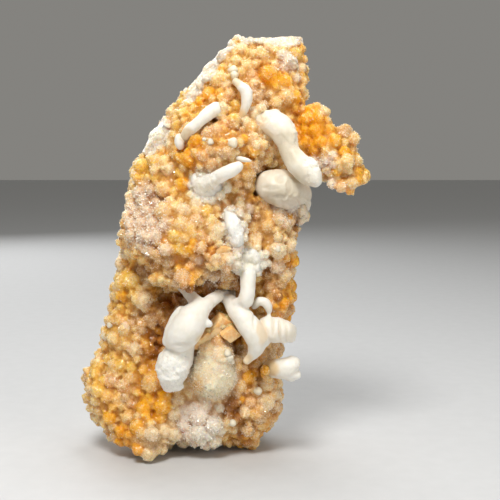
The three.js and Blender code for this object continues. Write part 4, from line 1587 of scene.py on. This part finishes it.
@dataclass
class Stone(Piece):
    """The stone with its crust of lumps, its side branch and its broken back.

    Attributes:
        core_voxel: Face size of the bare form that the lumps grow on.
        inset: How far the bare form is drawn in, so that the lumps reach the CAD outline.
        wander: How far the broken edges of the back wander to either side.
        standing: Largest height that a placed lump stands out of the bare form.
        fill: The lumps that fill the rest.
        grains: The small lumps.
        ground_voxel: Face size of the skin that the small lumps grow on.
        skin_voxel: Face size of the finished skin before it is thinned.
        relief: How much the gaps between lumps are deepened.
        triangles: Most triangles of the finished skin.
        crust_edge: How far back the crust reaches.
        branch: Where the crust of the side branch begins, and where it is whole.
        collar: How many lumps ring the root of a limb.
        lumps: Places and radii of the lumps that are placed one by one.
        tones: Their colours.
    """

    nodes = ("crusted_stone",)
    core_voxel: float = 0.55
    inset: float = 0.75
    wander: float = 1.3
    standing: float = 1.2
    fill: Lumps = Lumps("fill_lumps", "bare_of_lumps", 1.6, (0.62, 1.12), 11, roundness=3)
    grains: Lumps = Lumps("small_lumps", "grainy", 0.9, (0.24, 0.48), 23)
    ground_voxel: float = 0.4
    skin_voxel: float = 0.26
    relief: float = 0.12
    triangles: int = 196_000
    crust_edge: float = 4.5
    branch: tuple[float, float] = (17.6, 18.6)
    collar: int = 9
    lumps: Rows = field(init=False, repr=False)
    tones: Rows = field(init=False, repr=False)

    def build(self, material: Material) -> Thing:
        """Makes the whole crusted stone.

        Args:
            material: What the crust is made of.

        Returns:
            The finished stone, not yet handed over.
        """
        core = self._core()
        placed, perched = self._placed(core), self._perched(core)
        self.lumps, self.tones = (np.vstack(pair) for pair in zip(placed, perched))
        self._zones(core)
        fill = self.fill.build(core, material)
        tints = self._tints(fill)
        balls = self._balls(np.vstack([self.lumps, self._collars(core)]), material)
        coarse = joined("coarse_skin", [core, balls, fill])
        ground = fused(linked("ground", coarse.data.copy()), self.ground_voxel)
        self._zones(ground)
        small = self.grains.build(ground, material)
        discard(ground)
        skin = softened(fused(joined("stone_with_crust", [coarse, small]), self.skin_voxel), 2)
        self._weather(skin)
        skin = self._thinned(skin)
        self._paint(skin, tints)
        return skin

    def _weather(self, skin: Thing) -> None:
        """Deepens the gaps between lumps, roughens the broken stone and wears the foot flat.

        Args:
            skin: The whole skin, which is changed.
        """
        points = points_of(skin)
        normals = normals_of(skin)
        crusted = self._crusted(points)
        relief = np.clip(rise_of(skin, 6), -0.3, 0.15)
        sugar = 0.045 * noise_at(points, 0.62, 14)
        behind = fade(points[:, 1], 1.0, 7.0)
        bare = 0.4 + (0.55 + 0.45 * behind) * self._broken(points)
        moved = crusted * (self.relief * relief + sugar) + (1.0 - crusted) * bare
        points = points + normals * moved[:, None]
        points[:, 2] = np.maximum(points[:, 2], 0.0)
        place_points(skin, points)

    @staticmethod
    def _broken(points: Rows) -> Rows:
        """Gives the relief of broken stone: chipped faces, small pits and grit.

        Args:
            points: Places, one a row.

        Returns:
            One height for each.
        """
        warp = np.column_stack([noise_at(points, 4.0, seed) for seed in (15, 16, 17)])
        bent = points + 1.1 * warp
        chips = 1.1 * facets(bent, 9.0, 81) + 0.45 * facets(bent, 3.8, 91)
        chips = chips + 0.16 * facets(points, 1.7, 101)
        pits = fade(noise_at(points, 1.9, 20), 0.4, 0.8)
        return chips - 0.3 * pits + 0.13 * facets(points, 0.8, 111) - 0.2

    def _thinned(self, skin: Thing) -> Thing:
        """Thins the skin, the broken back first, to the most triangles that it may have.

        Args:
            skin: The whole skin.

        Returns:
            The same object.
        """
        weigh(skin, "behind", fade(points_of(skin)[:, 1], 3.0, 7.0))
        skin = with_modifier(skin, "DECIMATE", ratio=0.8, vertex_group="behind", vertex_group_factor=1.0,
                             use_collapse_triangulate=True)
        skin.vertex_groups.clear()
        return thinned(skin, self.triangles)

    def _core(self) -> Thing:
        """Makes the bare form from the CAD solid, drawn in and with its facets evened out."""
        core = softened(fused(copied_node("core", self.nodes[0]), self.core_voxel), 5)
        behind = fade(points_of(core)[:, 1], 4.0, 9.0)
        weigh(core, "behind", behind)
        core = softened(core, 60, vertex_group="behind")
        core.vertex_groups.clear()
        points = points_of(core)
        wander = np.column_stack([noise_at(points, 6.5, seed) for seed in (25, 26, 27)])
        moved = self.wander * behind[:, None] * wander - self.inset * normals_of(core)
        place_points(core, points + moved)
        return core

    @staticmethod
    def _perched(core: Thing) -> tuple[Rows, Rows]:
        """Finds the lumps that stand off the stone, each on another lump that reaches down to it.

        Args:
            core: The bare form.

        Returns:
            Rows of place and radius, and each lump's colour.
        """
        tree = surface_tree(core)
        rows, tones = [], []
        for tone, lumps in PERCHED.items():
            for lump in lumps:
                x, y, z, radius = VIEW.station(*lump)
                foot = tree.find_nearest((Vector((x, y, z)) + Vector(MEASURED_FROM)) * MM)[0]
                below = (measured(foot) + (x, y, z)) / 2
                rows += [(x, y, z, radius), (*below, radius)]
                tones += [tone.light, tone.light]
        return np.array(rows), np.array(tones)

    def _placed(self, core: Thing) -> tuple[Rows, Rows]:
        """Finds where the photograph's own lumps sit on the bare form.

        Args:
            core: The bare form.

        Returns:
            Rows of place and radius, and each lump's colour.
        """
        tree = surface_tree(core)
        rows, tones = [], []
        for tone, lumps in LUMPS.items():
            for u, v, radius in lumps:
                spot = VIEW.meets(tree, u, v)
                size = VIEW.station(u, v, spot[1], radius)[3]
                sunk = size - min(0.8 * size, self.standing)
                rows.append((*(spot + VIEW.ray(u, v) * sunk), size))
                tones.append(tone.light)
        return np.array(rows), np.array(tones)

    def _collars(self, core: Thing) -> Rows:
        """Rings the roots of the limbs with small lumps, so that they grow out of the crust.

        Args:
            core: The bare form.

        Returns:
            Rows of place and radius.
        """
        tree = surface_tree(core)
        rows = []
        for turn, node in enumerate(COLLARED):
            route = np.array([VIEW.station(*station) for station in LIMBS[node][0]])
            away = Vector(route[1, :3] - route[0, :3]).normalized()
            upright = away.to_track_quat("Z", "Y")
            reach = route[0, 3]
            for k in range(self.collar):
                angle = 0.7 * k + 0.5 * turn
                radius = min(1.2, max(0.5, reach * (0.5 + 0.14 * math.sin(5.0 * k + turn))))
                shift = Vector((math.cos(angle), math.sin(angle), 0.25 * math.sin(3.0 * k))) * reach
                spot = Vector(route[0, :3]) + upright @ shift + away * 0.3 * reach
                nearest = tree.find_nearest((spot + Vector(MEASURED_FROM)) * MM)[3]
                if nearest / MM < radius:
                    rows.append((*spot, radius))
        return np.array(rows)

    @staticmethod
    def _balls(lumps: Rows, material: Material) -> Thing:
        """Makes uneven balls from rows of place and radius.

        Args:
            lumps: The rows.
            material: What the balls are made of.

        Returns:
            All balls as one mesh.
        """
        middles = strung("lump_middles", lumps)
        fields = Fields("placed_lumps")
        points = fields.add("GeometryNodeMeshToPoints", {}, {"Mesh": fields.mesh})
        spin = fields.turned(fields.add("FunctionNodeEulerToRotation"), math.pi, 5)
        balls = fields.placed(points, fields.balls(3), spin, fields.read("thickness"))
        made = fields.run(balls, middles, "placed_lumps", material)
        discard(middles)
        return made

    def _crusted(self, points: Rows) -> Rows:
        """Tells the crust from the broken stone.

        Args:
            points: Places, one a row.

        Returns:
            A share for each: 1 in front and on the side branch, 0 on the broken back.
        """
        behind = fade(points[:, 1], -2.0, 4.0)
        wander = 13.0 * noise_at(points, 13.0, 2) + 7.0 * noise_at(points, 6.0, 3)
        wander = behind * (wander + 3.0 * noise_at(points, 2.6, 4))
        front = fade(points[:, 1] + wander, self.crust_edge + 1.2, self.crust_edge - 1.2)
        shift = 3.0 * noise_at(points, 2.4, 8) + 22.0 * behind * noise_at(points, 6.0, 9)
        bare = fade(strongest(BARE, VIEW.seen(points) + shift[:, None]), 0.35, 0.65)
        return np.maximum(front * (1.0 - bare), fade(points[:, 0], *self.branch))

    @staticmethod
    def _on_dome(points: Rows) -> Rows:
        """Gives the share of the cream dome at each point."""
        return fade(DOME.share(VIEW.seen(points)), 0.2, 0.6)

    def _zones(self, thing: Thing) -> None:
        """Stores where the filling lumps and the small lumps grow.

        Args:
            thing: The surface that they grow on.
        """
        points = points_of(thing)
        crusted = self._crusted(points)
        dome = self._on_dome(points) * (points[:, 1] < 0.0)
        clear = self._clear_of_limbs(points)
        gap = fade(self._nearest_lump(points)[1], 0.95, 1.15)
        patchy = fade(noise_at(points, 3.0, 6), -0.5, 0.3)
        store(thing, "bare_of_lumps", crusted * (1.0 - dome) * clear * gap)
        store(thing, "grainy", crusted * np.maximum(0.1 + 0.45 * patchy, 0.45 * dome) * clear)

    def _nearest_lump(self, points: Rows) -> tuple[Rows, Rows]:
        """Finds each point's nearest placed lump.

        Args:
            points: Places, one a row.

        Returns:
            The lumps' numbers, and the distances to their middles in radii.
        """
        nearest, away = [], []
        for some in np.array_split(points, max(1, len(points) // POINTS_AT_ONCE)):
            gaps = some[:, None, :] - self.lumps[None, :, :3]
            radii = np.sqrt(np.einsum("ijk,ijk->ij", gaps, gaps)) / self.lumps[None, :, 3]
            nearest.append(radii.argmin(axis=1))
            away.append(radii.min(axis=1))
        return np.concatenate(nearest), np.concatenate(away)

    @staticmethod
    def _clear_of_limbs(points: Rows) -> Rows:
        """Falls to 0 where a limb runs, so that lumps leave it bare.

        Args:
            points: Places, one a row.

        Returns:
            A share for each, 1 away from the limbs.
        """
        clear = np.ones(len(points))
        for node in LIMBS:
            for x, y, z, radius in limb_route(node, 1.2):
                away = np.sqrt(((points - (x, y, z)) ** 2).sum(axis=1))
                clear = np.minimum(clear, fade(away - radius, 0.1, 0.8))
        return clear

    @staticmethod
    def _tints(lumps: Thing) -> tuple[KDTree, Rows]:
        """Reads the filling lumps' tints.

        Args:
            lumps: The lumps.

        Returns:
            A search tree over some of their vertices, and the tint at each.
        """
        points = points_of(lumps)[::TINT_STEP]
        tree = KDTree(len(points))
        for i, point in enumerate(points):
            tree.insert(point, i)
        tree.balance()
        values = np.empty(len(lumps.data.vertices), dtype=np.float32)
        lumps.data.attributes["tint"].data.foreach_get("value", values)
        return tree, values[::TINT_STEP]

    def _paint(self, skin: Thing, tints: tuple[KDTree, Rows]) -> None:
        """Stores the colours with their painted shade and highlights, how far each place stands out, and
        where frost and crystals lie.

        Args:
            skin: The finished skin.
            tints: A search tree over the filling lumps, and their tints.
        """
        points = points_of(skin)
        rise = self._standing_out(skin)
        tree, values = tints
        tint = np.array([values[tree.find(point)[1]] for point in points])
        colours, frost = self._stains_and_shade(points, tint)
        pure = self._pure(colours)
        seen_side = fade(points[:, 1], 4.0, 1.0)
        dome = self._on_dome(points) * seen_side
        # Painted shade in the gaps between lumps and painted highlights on their tips, weaker on the
        # dome.
        colours = self._painted_shade_and_highlights(colours, rise * (1.0 - 0.85 * dome), frost)
        crusted = self._crusted(points)
        bare = blended(self._bare_stone(points, rise), colours, 0.15 * fade(points[:, 1], 6.0, 0.0))
        colours = blended(bare, colours, crusted)
        # The stored colour holds the stains together with the painted shade and painted highlights.
        store_colour(skin, "stain", np.clip(colours, 0.0, 1.0))
        # The crust's shader paints highlights and glints where this is high.
        store(skin, "rise", rise - 1.4 * pure)
        drusy = strongest(DRUSY, VIEW.seen(points)) * seen_side
        drusy = drusy * fade(noise_at(points, 1.8, 72), -0.5, 0.1) * fade(rise, -0.8, 0.0)
        store(skin, "drusy", drusy)
        frosty = np.maximum(np.clip(frost * 1.3 - 0.25, 0.0, 1.0), 0.3 * dome)
        store(skin, "frosty", frosty * crusted)
        patchy = fade(noise_at(points, 2.2, 71), -0.5, 0.4) * 0.7 + 0.15
        sugary = crusted * (1.0 - frost) * patchy * (0.35 + 0.65 * seen_side) * fade(rise, -0.4, 0.3)
        sugary *= 1.0 - 0.9 * pure
        store(skin, "sugary", np.maximum(sugary, 0.55 * dome * crusted))

    @staticmethod
    def _standing_out(skin: Thing) -> Rows:
        """Gives how far each place stands out, from about -1 in a gap to 1 on a tip."""
        fine, broad = rise_of(skin, 5), rise_of(skin, 30)
        mixed = fine / np.percentile(np.abs(fine), 80) + 1.2 * broad / np.percentile(np.abs(broad), 80)
        return np.clip(mixed / 2.2, -1.5, 1.5)

    def _stains_and_shade(self, points: Rows, tint: Rows) -> tuple[Rows, Rows]:
        """Mixes the crust's colours from its patches and lumps, some of which are painted shade.

        Args:
            points: Places, one a row.
            tint: Random number of the filling lump nearest to each.

        Returns:
            The colours, and the share of frost.
        """
        share = fade(noise_at(points, 6.0, 41) + 0.9 * (tint - 0.5), -0.6, 0.6)
        colours = blended(Tone.STRAW.light, Tone.HONEY.light, share)
        warp = np.column_stack([noise_at(points, 2.6, k) for k in (31, 32)])
        seen = VIEW.seen(points) + 5.0 * warp
        front = fade(points[:, 1], 5.0, 1.0)
        frost = np.zeros(len(points))
        # Some patches lay painted shade into recesses and gaps.
        for patch in PATCHES:
            share = patch.share(seen) * front
            colours = blended(colours, patch.tone.light, share)
            own = share if patch.tone in FROSTED else 0.0
            frost = frost * (1.0 - share) + own
        colours = blended(colours, Tone.CREAM.light, fade(tint, 0.3, 0.0) * 0.45)
        colours = blended(colours, Tone.AMBER.light, fade(tint, 0.75, 1.0) * 0.4)
        nearest, away = self._nearest_lump(points)
        return blended(colours, self.tones[nearest], fade(away, 1.3, 0.9) * 0.88), frost

    @staticmethod
    def _bare_stone(points: Rows, rise: Rows) -> Rows:
        """Gives the colours of the broken pale stone.

        Args:
            points: Places, one a row.
            rise: How far each stands out.

        Returns:
            One colour a row.
        """
        colours = np.tile(Tone.CHALK.light, (len(points), 1))
        veins = points * (0.5, 1.0, 1.6)
        share = fade(noise_at(veins, 1.7, 54), 0.0, 0.5) * 0.35
        colours = blended(colours, Tone.LILAC.light, share)
        clouds = ((Tone.GREY, 6.0, 51, 0.0, 0.55), (Tone.BUFF, 8.5, 52, 0.05, 0.8))
        for tone, size, seed, low, strength in clouds:
            share = fade(noise_at(points, size, seed), low, low + 0.6) * strength
            colours = blended(colours, tone.light, share)
        share = fade(rise, -0.1, -1.1) * fade(noise_at(points, 5.0, 53), -0.4, 0.4) * 0.7
        return blended(colours, Tone.DIRT.light, share)

    @staticmethod
    def _painted_shade_and_highlights(colours: Rows, rise: Rows, frost: Rows) -> Rows:
        """Paints shade into the gaps between lumps and paints highlights on their tips.

        Args:
            colours: Colours, one a row.
            rise: How far each place stands out.
            frost: Share of frost at each.

        Returns:
            The shaded colours.
        """
        # Painted shade: darker, deeper colour in the gaps between lumps.
        gap = fade(rise, 0.1, -1.0) * 0.7 * (1.0 - 0.3 * frost)
        deep = GAP_SHADE + frost[:, None] * GAP_SHADE_UNDER_FROST
        colours = blended(colours, colours * deep, gap)
        # Painted highlight: paler colour on the tips of the lumps.
        tip = fade(rise, 0.3, 1.3) * 0.5 * (1.0 - Stone._pure(colours))
        return blended(colours, 0.75 * colours**0.7 + 0.25 * Tone.CREAM.light, tip)

    @staticmethod
    def _pure(colours: Rows) -> Rows:
        """Gives 1 where the colour is a deep yellow or orange, and 0 where it is pale."""
        return fade(1.0 - colours[:, 2] / np.maximum(colours[:, 0], 0.01), 0.8, 0.95)


@dataclass(frozen=True)
class WhiteLimb(Piece):
    """One white growth: a limb, or several that are forked from one root.

    Attributes:
        name: The piece's name.
        nodes: The CAD nodes whose routes it follows and that it stands for.
        voxel: Face size of its skin.
        step: Distance between the balls that it is fused from.
        rounds: How often its skin is evened out.
        rooting: How far behind a root the stone may be for the limb to be led into it.
        foot: How many balls lead into the stone.
    """

    slot = "aragonite"
    name: str
    nodes: tuple[str, ...]
    voxel: float = 0.2
    step: float = 0.3
    rounds: int = 8
    rooting: float = 5.0
    foot: int = 8

    def _feet(self, tree: BVHTree) -> Rows:
        """Leads the limb's roots into the stone behind them.

        Args:
            tree: Search tree over the stone.

        Returns:
            Rows of place and radius.
        """
        rows = []
        for node in self.nodes:
            root = limb_route(node, self.step)[0]
            way = root[:3] - VIEW.eye
            way /= np.linalg.norm(way)
            away = tree.ray_cast(Vector(root[:3] + MEASURED_FROM) * MM, Vector(way))[3]
            if node in COLLARED and away is not None and away / MM < self.rooting:
                for share in np.linspace(0.0, 1.0, self.foot):
                    reach = share * (away / MM + 0.5 * root[3])
                    rows.append((*(root[:3] + way * reach), root[3] * (1.0 + 0.1 * share)))
        return np.array(rows).reshape(-1, 4)

    def build(self, ground: Thing, material: Material) -> Thing:
        """Strings balls along the routes and fuses them into one smooth skin.

        Args:
            ground: The finished stone.
            material: What the limb is made of.

        Returns:
            The finished limb, not yet handed over.
        """
        feet = self._feet(surface_tree(ground))
        route = np.vstack([limb_route(node, self.step) for node in self.nodes] + [feet])
        line = strung(self.name + "_route", route)
        fields = Fields(self.name)
        ball = fields.add("GeometryNodeMeshIcoSphere", {}, {"Radius": 1.0, "Subdivisions": 3})
        points = fields.add("GeometryNodeMeshToPoints", {}, {"Mesh": fields.mesh})
        sockets = {"Points": points, "Instance": ball, "Scale": fields.read("thickness")}
        strung_balls = fields.add("GeometryNodeInstanceOnPoints", {}, sockets)
        limb = fields.run(strung_balls, line, self.name, material)
        discard(line)
        limb = softened(fused(limb, self.voxel), self.rounds)
        self._finish(limb)
        return limb

    @staticmethod
    def _finish(limb: Thing) -> None:
        """Gives the smooth skin its dents, bumps and frosted ends, and stores its stains and painted
        shade.

        Args:
            limb: The skin, which is changed.
        """
        points = points_of(limb)
        seen = VIEW.seen(points) + 2.0 * noise_at(points, 1.5, 64)[:, None]
        frost = strongest(LIMB_FROST, seen)
        dents = strongest(LIMB_DENTS, VIEW.seen(points))
        bumps = 0.2 * noise_at(points, 2.6, 61) + 0.05 * noise_at(points, 0.9, 62)
        bumps += 0.07 * facets(points, 3.2, 85)
        rough = 0.2 * facets(points, 1.9, 65) + 0.16 * facets(points, 0.8, 75)
        rough += 0.16 * noise_at(points, 1.1, 63)
        place_points(limb, points + (bumps + frost * rough - dents)[:, None] * normals_of(limb))
        stains = np.ones((len(points), 3))
        # Stains from the crust, and painted shade on the knob and the big finger.
        for patch in LIMB_STAINS_AND_SHADE:
            stains = blended(stains, patch.tone.light, patch.share(seen))
        # Painted shade in the dents.
        for patch in LIMB_DENTS:
            stains = blended(stains, patch.tone.light, 0.5 * patch.share(VIEW.seen(points)))
        store(limb, "frosted", frost)
        store_colour(limb, "stain", stains)


WHITE_LIMBS: tuple[WhiteLimb, ...] = (
    WhiteLimb("left_forked_limb", ("left_trunk", "left_trunk_near_arm", "left_trunk_far_arm")),
    WhiteLimb("right_forked_limb", ("right_stem", "right_spindle", "right_swirl", "right_curl")),
    WhiteLimb("low_right_forked_limb", ("low_right_finger", "low_right_thumb")),
    *(WhiteLimb(node + "_limb", (node,)) for node in (
        "big_finger", "big_knob", "arched_finger", "high_finger", "middle_finger", "frosted_rib",
        "bead_under_arch")),
    WhiteLimb("needle_crystal", ("needle",)),
)


@dataclass(frozen=True)
class Crystals(Growth):
    """Tiny flat-faced crystals that are strewn over the crust like sugar.

    Attributes:
        length: How long each is, in radii.
    """

    length: float = 1.5

    def shapes(self, fields: Fields) -> Iterator[Signal]:
        """Makes blocky and pointed crystals."""
        for sides, top in ((4, 0.62), (5, 0.0), (6, 0.25)):
            sockets = {"Vertices": sides, "Radius Top": top, "Radius Bottom": 0.9, "Depth": self.length}
            yield fields.add("GeometryNodeMeshCone", {}, sockets)


SUGAR = Crystals("sugar_crystals", "sugary", 0.32, (0.07, 0.17), 41)
FROST = Crystals("frost_crystals", "frosty", 0.36, (0.1, 0.24), 53)
TUFTS = Crystals("tuft_crystals", "drusy", 0.55, (0.14, 0.3), 59, length=1.8)
LIMB_SUGAR = Crystals("frost_on_limb", "frosted", 0.42, (0.06, 0.16), 67)
FROSTED_LIMBS: tuple[str, ...] = (
    "left_forked_limb", "right_forked_limb", "middle_finger_limb", "frosted_rib_limb", "big_finger_limb",
)


@dataclass(frozen=True)
class Beads(Piece):
    """The small white beads that stand on the crust.

    Attributes:
        name: The piece's name.
        sunk: How far their middles are sunk into the crust, in radii.
        frost: Share of frost on them.
    """

    slot = "aragonite"
    name: str = "white_beads"
    sunk: float = 0.2
    frost: float = 0.3

    def build(self, ground: Thing) -> Thing:
        """Makes an uneven closed ball for each bead, half sunk in the crust.

        Args:
            ground: The finished stone.

        Returns:
            All beads as one mesh.
        """
        tree = surface_tree(ground)
        target = bmesh.new()
        for u, v, radius in BEADS:
            spot = VIEW.meets(tree, u, v)
            size = VIEW.station(u, v, spot[1], radius)[3]
            middle = Vector(metres(spot + VIEW.ray(u, v) * self.sunk * size))
            made = bmesh.ops.create_icosphere(target, subdivisions=3, radius=size * MM)
            for vertex in made["verts"]:
                way = vertex.co.normalized()
                uneven = 1.0 + 0.09 * math.sin(3.1 * way.x + u) + 0.07 * math.sin(4.3 * way.z + v)
                vertex.co = middle + vertex.co * uneven
        beads = shaped(self.name, target)
        beads.data.shade_smooth()
        count = len(beads.data.vertices)
        store(beads, "frosted", np.full(count, self.frost))
        store_colour(beads, "stain", np.tile(Tone.CHALK.light, (count, 1)))
        return beads


@dataclass(frozen=True)
class Blocks(Piece):
    """The few blocky honey crystals between the limbs.

    Attributes:
        name: The piece's name.
        skew: How far the top is shifted sideways, as a share of the height.
        bevel: Width of the rounded edges, as a share of the block's own.
        roughness: Height of the chips on the faces.
    """

    name: str = "honey_blocks"
    skew: float = 0.22
    bevel: float = 0.09
    roughness: float = 0.07

    def build(self) -> Thing:
        """Makes all blocks as one piece."""
        return joined(self.name, [self._block(*row) for row in BLOCKS])

    def _block(self, u: float, v: float, depth: float, edge: float, turn: float) -> Thing:
        """Makes a skewed block with rounded edges and chipped faces.

        Args:
            u: Pixels from the photograph's left edge to its middle.
            v: Pixels from the photograph's top edge to its middle.
            depth: Distance from the middle towards the back.
            edge: Its width in pixels.
            turn: How far it is turned, in degrees.

        Returns:
            The block.
        """
        *spot, size = VIEW.station(u, v, depth, edge)
        block = bmesh.new()
        bmesh.ops.create_cube(block, size=size * MM)
        for vertex in block.verts:
            vertex.co.x += self.skew * vertex.co.z
        bmesh.ops.bevel(block, geom=block.edges[:], offset=self.bevel * size * MM, segments=2,
                        affect="EDGES", profile=0.6)
        bmesh.ops.subdivide_edges(block, edges=block.edges[:], cuts=3, use_grid_fill=True)
        bmesh.ops.triangulate(block, faces=block.faces[:])
        places = np.array([vertex.co for vertex in block.verts]) / MM + u
        for vertex, push in zip(block.verts, self.roughness * facets(places, 1.1, 121)):
            vertex.co += vertex.co.normalized() * float(push) * MM
        turned = Euler((0.4, math.radians(turn), 0.5)).to_matrix().to_4x4()
        block.transform(Matrix.Translation(Vector(metres(spot))) @ turned)
        return shaped(self.name, block)


def main() -> None:
    """Builds the specimen piece by piece, then the studio."""
    logging.basicConfig(level=logging.INFO)
    mineral = Mineral()
    crust = mineral.crust()
    white = Porcelain().limb()
    stone = Stone()
    skin = stone.build(crust)
    grains = mineral.crystals()
    for crystals in (SUGAR, FROST, TUFTS):
        crystals.dress(crystals.build(skin, grains), grains)
    beads = Beads()
    beads.dress(beads.build(skin), white)
    blocks = Blocks()
    blocks.dress(blocks.build(), mineral.blocks())
    stone.dress(skin, crust)
    for limb in WHITE_LIMBS:
        form = limb.build(skin, white)
        if limb.name in FROSTED_LIMBS:
            frost = replace(LIMB_SUGAR, name="frost_on_" + limb.name)
            frost.dress(frost.build(form, grains), grains)
        limb.dress(form, white)
    Studio().build()
    boxes = {"cad": CAD_BOX, "visual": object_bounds()}
    plain = {name: [list(map(float, corner)) for corner in box] for name, box in boxes.items()}


if __name__ == "__main__":
    main()
